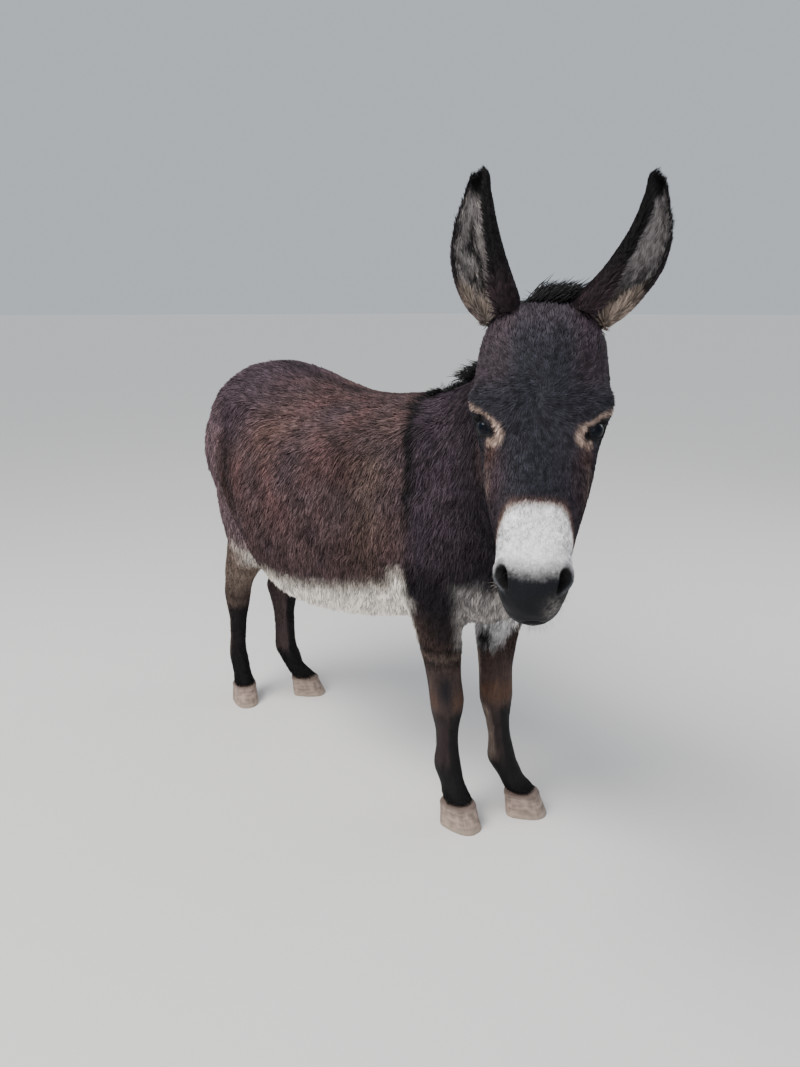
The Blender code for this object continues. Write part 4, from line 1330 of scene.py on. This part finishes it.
def dress_ear(ear, side):
    mesh = ear.data
    face_outwards(mesh)
    points, normals = points_of(mesh), normals_of(mesh)
    up, to_middle = numbers(mesh, "up"), numbers(mesh, "to_middle")
    along, opening, across = (np.array(a) for a in ear_axes(side))
    middles = np.array([ear_middle(side, float(s)) for s in up])
    inside = step(0.3, -0.3, (normals * unit(points - middles)).sum(axis=1))
    edge = step(0.80, 0.97, np.abs(to_middle))
    cloud = 0.6 * grain(points, 0.014) + 0.4 * grain(points, 0.005, 3.0)
    outer = paint(plain(EAR_BACK, points), 0.5 * cloud + step(-0.1, 0.5, to_middle), BLACK)
    inner = paint(plain(EAR_HAIR, points), 0.30 + 0.5 * cloud, EAR_SHADE)
    lines = grain(np.column_stack([to_middle / 0.060 + 2.5 * up, up / 0.12, 0 * up]), 1.0, 4.0 + side)
    middle, tall, share = ((-0.36, 0.80, 1.0), (-0.52, 0.52, 0.75))[side > 0]
    wide = 0.14 + 0.20 * step(0.65, 0.20, up)
    streak = hump(to_middle - middle + 0.12 * cloud, 0, wide)
    streak = streak * step(0.06, 0.16, up) * step(tall, tall - 0.22, up)
    streak = share * np.clip(streak * step(-0.45, 0.15, lines + 0.3 * cloud) * 1.35, 0, 1)
    inner = layered(
        inner,
        (0.40 * step(0.0, 0.6, lines), EAR_SHADE * 0.6),
        (0.95 * streak, BLACK),
        (0.75 * step(0.26, 0.06, up) * step(-0.4, 0.3, cloud), EAR_BASE),
        (step(0.58, 0.74, to_middle + 0.08 * cloud), BLACK),
        (step(0.90, 0.985, -to_middle + 0.03 * cloud), BLACK),
    )
    colours = outer * (1 - inside[:, None]) + inner * inside[:, None]
    colours = layered(
        colours,
        (step(0.76, 0.86, up + 0.12 * to_middle + 0.03 * cloud), BLACK),
        (0.8 * step(0.20, 0.02, up) * (1 - inside) * step(0.9, 0.2, to_middle), CROWN_BROWN),
        (0.7 * step(0.34, 0.08, up + 0.05 * cloud) * step(0.3, 0.7, to_middle), CHEEK_BROWN * 0.6),
    )
    rim_base = step(-0.50, -0.75, to_middle) * step(0.30, 0.12, up + 0.06 * cloud)
    colours = paint(colours, (0.85 if side > 0 else 0.35) * rim_base, EAR_BASE * 0.9)
    inwards = across if across @ np.array(HEAD_LEFT) * -side > 0 else -across
    way = np.tile(along, (len(points), 1)) - np.outer(inside * to_middle * 0.55, inwards)
    way = way + np.outer(inside * 0.25, opening)
    way -= normals * (way * normals).sum(axis=1)[:, None]
    lining = inside * (0.009 + 0.008 * step(0.30, 0.10, up)) * step(0.95, 0.7, up)
    length = 0.0095 + lining + 0.002 * step(0.90, 1.0, up)
    close = np.ones(len(points)) * (1 - 0.55 * streak * inside) * (1 + 0.8 * edge)
    close *= step(-0.02, 0.02, up)
    lift = 9 + 12 * inside + 8 * edge + 14 * inside * step(0.25, 0.08, up)
    write_hair(mesh, colours, unit(way), length, close, lift)


for side, word in WORDS.items():
    ear = ear_leaf(side)
    dress_ear(ear, side)
    ear.data.materials.append(HIDE)
    ear.data.shade_smooth()
    patch = patch_of(ear, "ear_copy", np.ones(len(ear.data.vertices), bool))
    grow(f"ear_hair_{word}", patch, EAR_TUFTS, 0.065, 0.9, 200 + side, HAIR)
    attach(ear, "root")
    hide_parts("ear_" + word)

# %% [markdown]
# ## Eyes
# A donkey's eye is nearly all dark: a wide pupil in a brown iris, and a ring of dark white that rarely
# shows. The cornea swells a little towards the front, and the tear film makes the ball very shiny.

# %% Build the eyes
def eye_material():
    made, tree = new_material("wet eye")
    film = {"IOR": 1.37, "Specular Tint": (0.65, 0.82, 1.0, 1)}
    set_shader(tree, stored(tree, "pelt", "Color"), roughness=0.07, specular=0.22, **film)
    return made


WET_EYE = eye_material()
IRIS, PUPIL, EYE_WHITE = tint(26, 21, 20), tint(6, 9, 17), tint(26, 23, 26)


def build_eye(side):
    gaze, inner, above = (np.array(a) for a in eye_axes(side))
    work = bmesh.new()
    bmesh.ops.create_uvsphere(work, u_segments=72, v_segments=48, radius=EYE_RADIUS - 0.0004)
    mesh = worked(work, "eyeball")
    away = points_of(mesh)
    ways = unit(away)
    x, y, z = ways @ inner, ways @ above, ways @ gaze
    off_axis = np.degrees(np.arccos(np.clip(z, -1, 1)))
    away += ways * (0.0011 * hump(off_axis, 0, 34))[:, None]
    pupil = step(1.12, 0.94, np.sqrt((x / 0.34) ** 2 + (y / 0.24) ** 2) + 50 * (z < 0))
    ring = step(44, 40, off_axis)
    streaks = 0.5 + 0.5 * np.sin(np.arctan2(y, x) * 40 + 4 * grain(ways, 0.4))
    colours = paint(np.tile(EYE_WHITE, (len(away), 1)), ring, IRIS)
    colours = layered(
        colours,
        (ring * (0.35 + 0.35 * streaks), PUPIL),
        (hump(off_axis, 41, 4), PUPIL),
        (pupil, PUPIL),
    )
    put_points(mesh, away + np.array(EYES[side]))
    store(mesh, "pelt", "FLOAT_COLOR", colours)
    eye = add_object("eyeball_" + WORDS[side], mesh)
    mesh.materials.append(WET_EYE)
    mesh.shade_smooth()
    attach(eye, "root")
    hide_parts("eye_" + WORDS[side])


for side in WORDS:
    build_eye(side)
print("eyes built")

# %% [markdown]
# ## Hooves
# A small upright hoof: a wall that slopes forward to the toe, with growth rings and fine upright streaks,
# and a dished sole inside it. Its rim is flat, and all four rims stand on the same floor.

# %% Build the hooves
SOLE_HEIGHT = 0.056
HOOVES = {  # across and back of the coronet's middle, half width, reach ahead and behind, toe, degrees out
    ("fore", RIGHT): (0.053, -0.309, 0.0355, 0.042, 0.038, 0.023, 2),
    ("fore", LEFT): (0.089, -0.379, 0.0355, 0.042, 0.038, 0.023, 28),
    ("hind", RIGHT): (0.081, 0.553, 0.0330, 0.040, 0.038, 0.027, 22),
    ("hind", LEFT): (0.083, 0.470, 0.0330, 0.040, 0.038, 0.027, 34),
}


def horn_material():
    made, tree = new_material("horn")
    set_shader(tree, stored(tree, "pelt", "Color"), roughness=0.62, specular=0.3)
    noise_bump(tree, strength=0.25, distance=0.0006, noise_inputs={"Scale": 260})
    return made


HORN = horn_material()
HORN_PALE, HORN_DARK, DUST = tint(162, 143, 131), tint(86, 74, 69), tint(166, 153, 136)


def build_hoof(kind, side):
    across, back, half, ahead, behind, toe, degrees = HOOVES[kind, side]
    turn = math.radians(degrees) * side
    forward = np.array((math.sin(turn), -math.cos(turn), 0))
    aside = np.array((math.cos(turn), math.sin(turn), 0))
    middle = np.array(on_body(side * across, back, 0))
    count, rings = 72, []
    angle = 2 * np.pi * np.arange(count) / count
    c, s = np.cos(angle), np.sin(angle)
    x0, y0 = np.sign(c) * np.abs(c) ** (2 / 2.6), np.sign(s) * np.abs(s) ** (2 / 2.6)
    levels = [(0.0545, 0.90)] + [(z, 1.0) for z in np.linspace(0.0540, 0.0030, 22)]  # height, width
    levels += [(0.0008, 0.995), (0.0, 0.98)]
    levels += [(0.0, 0.86), (0.0035, 0.80), (0.0060, 0.45), (0.0062, 0.10)]  # the sole
    wall = 23  # the last row of the wall above its rim
    for number, (z, share) in enumerate(levels):
        down = 1 - z / SOLE_HEIGHT if number <= wall else 1
        reach, heel, wider = toe * (0.20 * down + 0.80 * down**1.1), -0.006 * down, 0.0045 * down
        ridge = 0.00060 * np.sin(z * 900 + 1.3 * s) * (number <= wall) if number else 0
        band = 0.0010 * math.exp(-(((z - 0.050) / 0.004) ** 2)) * (number <= wall)
        wide = (half + wider - 0.0005 + band + ridge) * share
        front = (ahead + reach - 0.0008 + band + ridge) * share
        rear = (behind + heel - 0.0008 + band) * share
        y = np.where(y0 > 0, front, rear) * y0
        x = wide * x0 * (1 - 0.10 * y0)
        ring = middle + np.outer(x, aside) + np.outer(y, forward) + np.array((0, 0, z))
        rings.append(ring)
    points = np.vstack(rings)
    faces = [list(range(count)), [(len(rings) - 1) * count + j for j in range(count)][::-1]]
    for k in range(len(rings) - 1):
        for j in range(count):
            n = (j + 1) % count
            faces.append([k * count + j, (k + 1) * count + j, (k + 1) * count + n, k * count + n])
    mesh = bpy.data.meshes.new("hoof")
    mesh.from_pydata([tuple(p) for p in points], [], faces)
    streak = np.tile(grain(np.column_stack([x0, y0, 0 * x0]), 0.09, side + len(kind)), len(rings))
    rise = points[:, 2]
    cloud = grain(points, 0.012)
    rings_of_growth = 0.11 * np.sin(620 * rise + 3.0 * cloud)
    colours = layered(
        plain(HORN_PALE, points),
        (0.36 + 0.30 * streak + 0.75 * cloud + rings_of_growth, HORN_DARK),
        (0.5 * step(0.020, 0.0, rise) + 0.3 * cloud, DUST),
        (0.7 * step(0.046, 0.054, rise), HORN_DARK),
    )
    store(mesh, "pelt", "FLOAT_COLOR", colours)
    hoof = add_object(f"horn_{kind}_{WORDS[side]}", mesh)
    mesh.materials.append(HORN)
    mesh.shade_smooth()
    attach(hoof, "root")
    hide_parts(f"hoof_{kind}_{WORDS[side]}")


for kind, side in HOOVES:
    build_hoof(kind, side)
print("hooves built")

# %% [markdown]
# ## Long hair
# Mane, forelock, tassel, lashes and whiskers are locks: three-sided, pointed at both ends, starting one
# way and ending another. All the locks of a group are worked out together as arrays.

# %% Locks
def triangle_mesh(name, points, triangles):
    mesh = bpy.data.meshes.new(name)
    mesh.vertices.add(len(points))
    mesh.vertices.foreach_set("co", np.ascontiguousarray(points, np.float32).ravel())
    mesh.loops.add(len(triangles) * 3)
    mesh.loops.foreach_set("vertex_index", np.ascontiguousarray(triangles, np.int32).ravel())
    mesh.polygons.add(len(triangles))
    mesh.polygons.foreach_set("loop_start", np.arange(0, len(triangles) * 3, 3, dtype=np.int32))
    mesh.update(calc_edges=True)
    mesh.validate()
    return mesh


SECTION_WIDTHS = (0.75, 1.0, 0.7)  # shares of a lock's width, from its root up


def locks(
    name, roots, first, last, out, length, width, colours, spots, seed, material,
    sections=(0.25, 0.55, 0.82),
):
    """Each lock starts along first, ends along last, and is as wide as width before its tip."""
    count = len(roots)
    rng = np.random.default_rng(seed)
    first, last = unit(first), unit(last)
    length = np.broadcast_to(np.asarray(length, float), count)[:, None]
    width = np.broadcast_to(np.asarray(width, float), count)[:, None]
    rows, tipward = [roots - first * 0.003], [np.zeros(count)]
    for t, share in zip(sections, SECTION_WIDTHS):
        middle = roots + length * (first * (t - t * t / 2) + last * (t * t / 2))
        tangent = unit(first * (1 - t) + last * t)
        aside = unit(np.cross(tangent, out) + 1e-9)
        flat = np.cross(aside, tangent)
        wide = width * share
        for x, y in ((-0.5, 0.0), (0.5, 0.0), (0.0, 0.45)):
            rows.append(middle + aside * wide * x + flat * wide * y)
            tipward.append(np.full(count, t))
    rows.append(roots + length * (first * 0.5 + last * 0.5))
    tipward.append(np.ones(count))
    each = len(rows)
    points = np.stack(rows, axis=1).reshape(-1, 3)
    one = [(0, 2, 1), (0, 3, 2), (0, 1, 3)]
    for k in range(len(sections) - 1):
        a = 1 + 3 * k
        for i in range(3):
            j = (i + 1) % 3
            one += [(a + i, a + j, a + 3 + j), (a + i, a + 3 + j, a + 3 + i)]
    a = 1 + 3 * (len(sections) - 1)
    one += [(a, a + 1, each - 1), (a + 1, a + 2, each - 1), (a + 2, a, each - 1)]
    triangles = (np.array(one)[None, :, :] + each * np.arange(count)[:, None, None]).reshape(-1, 3)
    mesh = triangle_mesh(name, points, triangles)
    store(mesh, "pelt", "FLOAT_COLOR", np.repeat(np.broadcast_to(colours, (count, 3)), each, axis=0))
    store(mesh, "tipward", "FLOAT", np.stack(tipward, axis=1).reshape(-1))
    store(mesh, "differ", "FLOAT", np.repeat(rng.random(count), each))
    corner = triangles.reshape(-1)
    lock, place = corner // each, corner % each
    leaf = np.column_stack([(place % 3) / 2, place / (each - 1)]) * TUFT_BAKE
    layer = mesh.uv_layers.new(name="OFBake")
    layer.data.foreach_set("uv", (np.clip(spots, 0, 0.995)[lock] + leaf).astype(np.float32).ravel())
    made = add_object(name, mesh)
    mesh.materials.append(material)
    mesh.shade_smooth()
    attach(made, "root")
    print(name, len(triangles), "triangles")
    return made


SKIN_TREE = BVHTree.FromPolygons(
    [tuple(v.co) for v in skin.data.vertices], [tuple(f.vertices) for f in skin.data.polygons]
)


def on_skin(starts, ways, reach=0.4):
    """Where rays meet the skin from outside: places, normals, and which rays met it."""
    places, normals, met = np.zeros_like(starts), np.zeros_like(starts), np.zeros(len(starts), bool)
    for k, (start, way) in enumerate(zip(starts, ways)):
        place, normal, _, _ = SKIN_TREE.ray_cast(Vector(start), Vector(way), reach)
        if place is not None:
            places[k], normals[k], met[k] = place, normal, True
    return places, normals, met


# %% [markdown]
# The mane is short and stiff, and only half stands up. It runs from behind the ears to the withers and is
# shorter at both ends. The forelock is a small dark tuft that is blown to the donkey's left.

# %% Mane and forelock
NECK_LINE = (  # middle of the neck from the withers to the poll: across, back, height
    (0.000, -0.200, 0.800),
    (-0.012, -0.320, 0.850),
    (-0.060, -0.440, 0.925),
    (-0.125, -0.530, 1.000),
    (-0.183, -0.590, 1.058),
    (-0.235, -0.630, 1.090),
)


def grow_mane(count=3600):
    rng = np.random.default_rng(21)
    line = curve_through(NECK_LINE, 8)
    at = 3 + rng.random(count) * (len(line) - 5)
    low = at.astype(int)
    part = (at - low)[:, None]
    middle = line[low] * (1 - part) + line[low + 1] * part
    along = unit(line[low + 1] - line[low])
    rise = unit(np.array([0, 0, 1.0]) - along * along[:, 2:3])
    aside = np.cross(along, rise)
    tilt = rng.normal(0, 0.075, count)[:, None]
    ways = rise * np.cos(tilt) + aside * np.sin(tilt)
    roots, _, met = on_skin(np.array(BODY) + middle + ways * 0.35, -ways)
    share = at / len(line)
    fall = 0.35 + 0.5 * rng.random(count)[:, None]
    side = np.sign(grain(middle, 0.16, 4.0) - 0.05)[:, None]
    jitter = rng.normal(0, 0.18, (count, 3))
    first = rise + 0.25 * aside * side + 0.5 * tilt * aside - 0.25 * along + jitter
    last = rise * (0.45 - fall) + aside * side * (0.5 + fall) - 0.35 * along + 1.4 * jitter
    length = (0.050 + 0.020 * rng.random(count)) * (0.60 + 0.40 * step(0.05, 0.25, share))
    length = length * (0.6 + 0.4 * step(1.0, 0.9, share))
    colours = paint(np.tile(BLACK, (count, 1)), 0.35 * rng.random(count), NEAR_BLACK)
    spots = np.column_stack([share, 0.5 + 2.5 * tilt[:, 0]])
    width = 0.0013 + 0.0009 * rng.random(met.sum())
    made = locks(
        "mane_hair", roots[met], first[met], last[met], aside[met] * side[met], length[met], width,
        colours[met], spots[met], seed=22, material=MANE_HAIR, sections=(0.3, 0.7),
    )
    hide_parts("mane")


def grow_forelock(count=1700):
    rng = np.random.default_rng(31)
    along, across = rng.normal(-0.030, 0.010, count), rng.normal(0.006, 0.017, count)
    starts = np.array([on_head(a, c, 0.12) for a, c in zip(along, across)])
    roots, _, met = on_skin(starts, np.tile(-np.array(BROWWARD), (count, 1)))
    n, left, brow = HEAD_AXES
    jitter = rng.normal(0, 0.20, (count, 3))
    first = -n * 0.75 + brow * 0.75 + left * 0.25 + jitter
    last = left * (1.1 + 0.3 * rng.random(count)[:, None]) - n * 0.30 - brow * 0.10 + 1.2 * jitter
    length = 0.040 + 0.030 * rng.random(count)
    colours = paint(np.tile(BLACK, (count, 1)), 0.35 * rng.random(count), NEAR_BLACK)
    spots = np.column_stack([0.5 + 6 * along, 0.5 + 6 * across])
    out, width = np.tile(brow, (met.sum(), 1)), 0.0012 + 0.0008 * rng.random(met.sum())
    made = locks(
        "forelock_hair", roots[met], first[met], last[met], out, length[met], width,
        colours[met], spots[met], seed=32, material=MANE_HAIR, sections=(0.3, 0.7),
    )
    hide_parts("forelock")


grow_mane()
grow_forelock()

# %% [markdown]
# A donkey's tail is like a cow's: short hair at first, and near its end a tassel of long straight hair.

# %% Tassel
TASSEL_PLACE = (-0.008, 0.6415, 0)  # across and back, on the floor under it
TASSEL_TOP, TASSEL_TIP = 0.545, 0.275


def grow_tassel(count=1800):
    rng = np.random.default_rng(41)
    height = TASSEL_TOP + 0.035 * rng.random(count)
    height -= 0.10 * rng.random(count) ** 2
    angle = 2 * np.pi * rng.random(count)
    radius = 0.009 * np.sqrt(rng.random(count))
    out = np.column_stack([np.cos(angle), np.sin(angle), 0 * angle])
    upright = np.column_stack([0 * height, 0 * height, height])
    roots = np.array(on_body(*TASSEL_PLACE)) + out * radius[:, None] + upright
    first = out * 0.10 + np.array([-0.10, 0, -1.0]) + rng.normal(0, 0.028, (count, 3))
    last = -out * 0.02 + np.array([-0.04, 0, -1.0]) + rng.normal(0, 0.025, (count, 3))
    length = (height - TASSEL_TIP) * (0.62 + 0.38 * rng.random(count))
    colours = paint(np.tile(BLACK, (count, 1)), 0.35 * rng.random(count), DEEP_BROWN)
    spots = np.column_stack([angle / 6.3, (height - 0.4) * 3])
    width = 0.0018 + 0.0012 * rng.random(count)
    made = locks(
        "tassel_hair", roots, first, last, out, length, width,
        colours, spots, seed=42, material=MANE_HAIR,
    )
    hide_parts("tail_switch")


grow_tassel()

# %% [markdown]
# Lashes stand along the upper lid, and stiff pale whiskers on the lips and the chin.

# %% Lashes and whiskers
LASH_WIDTH, WHISKER_WIDTH = 0.00045, 0.00030


def grow_lashes():
    rng = np.random.default_rng(51)
    roots, first, last, out = [], [], [], []
    for side, centre in EYES.items():
        gaze, inner, above = (np.array(a) for a in eye_axes(side))
        for share in np.linspace(-0.85, 0.70, 70):
            rise = OPENING[2] * (1 - share**2) + math.radians(3.0 + 2.0 * rng.random())
            turn = share * (OPENING[0] if share > 0 else OPENING[1])
            way = gaze + inner * math.tan(turn) + above * math.tan(rise)
            way /= np.linalg.norm(way)
            roots.append(np.array(centre) + way * (EYE_RADIUS + 0.0018))
            first.append(way * 0.9 + above * 0.35 + inner * share * 0.5 + rng.normal(0, 0.10, 3))
            last.append(way * 0.75 - above * 0.55 + inner * share * 0.6 + rng.normal(0, 0.10, 3))
            out.append(above)
    roots, first, last, out = (np.array(rows) for rows in (roots, first, last, out))
    count = len(roots)
    length = 0.0085 + 0.004 * rng.random(count)
    colours, spots = np.tile(BLACK, (count, 1)), rng.random((count, 2))
    locks(
        "lashes", roots, first, last, out, length, LASH_WIDTH,
        colours, spots, seed=52, material=MANE_HAIR, sections=(0.4, 0.75),
    )


def grow_whiskers(count=700):
    rng = np.random.default_rng(61)
    along = 0.395 + 0.085 * rng.random(count)
    across = rng.normal(0, 0.034, count)
    rise = np.where(rng.random(count) < 0.7, -0.55, 0.1) + rng.normal(0, 0.35, count)
    n, left, brow = HEAD_AXES
    ways = np.outer(across / 0.03, left) + np.outer(rise * 1.5, brow) + np.outer(step(0.44, 0.49, along), n)
    ways = unit(ways)
    starts = np.array([on_head(a, 0, -0.075) for a in along]) + ways * 0.12
    roots, normals, met = on_skin(starts, -ways)
    places = mirrored(roots)
    met &= np.linalg.norm(places - np.array(NOSTRIL), axis=1) > 0.012
    below = step(-0.060, -0.100, places[:, 2])
    first = normals + 0.25 * n + rng.normal(0, 0.20, (count, 3))
    last = normals * 0.6 + 0.3 * n - 0.35 * brow + rng.normal(0, 0.25, (count, 3))
    met &= below > 0.35
    length = (0.006 + 0.010 * below) * (0.6 + 0.8 * rng.random(count))
    out = normals[met] + 0.3 * left
    colours, spots = np.tile(CREAM, (met.sum(), 1)), rng.random((met.sum(), 2))
    locks(
        "whiskers", roots[met], first[met], last[met], out, length[met], WHISKER_WIDTH,
        colours, spots, seed=62, material=HAIR, sections=(0.5,),
    )


grow_lashes()
grow_whiskers()

# %% [markdown]
# ## Floor, light and camera
# A plain pale floor, a soft sky, a sun and three lamps, and a camera 1.15 m over the floor.

# %% Stage
FLOOR_REACH, FLOOR_COLOUR, FLOOR_ROUGHNESS = 200.0, (0.70, 0.69, 0.68, 1), 0.9
SKY_COLOUR, SKY_STRENGTH = (0.86, 0.92, 1.0, 1), 0.62
SUN_WAY, SUN_COLOUR, SUN_POWER, SUN_WIDTH = (0.50, -0.15, -1.0), (1.0, 0.97, 0.93), 1.25, math.radians(24)
LAMPS = (  # name, place, what it shines at, size, power, colour
    ("key", (-2.2, 0.6, 3.4), (0, 0, 0.7), 2.0, 130, (1.0, 0.96, 0.90)),
    ("front", (-2.6, -3.0, 2.4), (0, -0.3, 0.8), 3.4, 60, (1, 1, 1)),
    ("left", (3.0, -1.2, 2.6), (0, 0, 0.8), 2.4, 35, (1, 1, 1)),
)


def aim(item, place, way):
    item.location = place
    item.rotation_mode = "QUATERNION"
    item.rotation_quaternion = way.to_track_quat("-Z", "Y")


def add_light(name, kind, power, colour, place, way):
    data = bpy.data.lights.new(name, kind)
    data.energy = power
    data.color = colour
    aim(add_object(name, data), place, way)
    return data


mesh = bpy.data.meshes.new("floor")
corners = [(x * FLOOR_REACH, y * FLOOR_REACH, 0) for x, y in ((-1, -1), (1, -1), (1, 1), (-1, 1))]
mesh.from_pydata(corners, [], [(0, 1, 2, 3)])
floor = add_object("floor", mesh)
pale, tree = new_material("pale floor")
fill(tree, tree.nodes["Principled BSDF"], {"Base Color": FLOOR_COLOUR, "Roughness": FLOOR_ROUGHNESS})
mesh.materials.append(pale)
floor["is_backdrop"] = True

world = bpy.data.worlds.new("soft sky")
world.use_nodes = True
sky = world.node_tree
fill(sky, sky.nodes["Background"], {"Color": SKY_COLOUR, "Strength": SKY_STRENGTH})
bpy.context.scene.world = world
sun = add_light("sun", "SUN", SUN_POWER, SUN_COLOUR, (0, 0, 0), Vector(SUN_WAY))
sun.angle = SUN_WIDTH
for name, place, target, size, power, colour in LAMPS:
    lamp = add_light(name, "AREA", power, colour, place, Vector(target) - Vector(place))
    lamp.shape = "DISK"
    lamp.size = size
print("floor, sky, sun and", len(LAMPS), "lamps")

# %% Camera
CAMERA_PLACE = (-1.258, -1.406, 1.15)
CAMERA_WAY, CAMERA_DROP = (0.682, 0.732, 0), math.radians(15.58)
LENS_MM, SENSOR_MM = 27.04, 36

camera_data = bpy.data.cameras.new("camera")
camera_data.sensor_width = SENSOR_MM
camera_data.lens = LENS_MM
camera = add_object("camera", camera_data)
look = Vector(CAMERA_WAY).normalized() * math.cos(CAMERA_DROP) - UP * math.sin(CAMERA_DROP)
aim(camera, on_body(*CAMERA_PLACE), look)
bpy.context.scene.camera = camera
print("camera at", [round(x, 3) for x in camera.location])

# %% Measure and finish
bpy.data.collections.remove(TUFTS)
for left_over in [o for o in bpy.data.objects if o.name.startswith("tuft_")]:
    bpy.data.objects.remove(left_over)
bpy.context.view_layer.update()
meshes = [piece.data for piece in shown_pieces()]
print("triangles in all:", sum(len(mesh.loops) - 2 * len(mesh.polygons) for mesh in meshes))
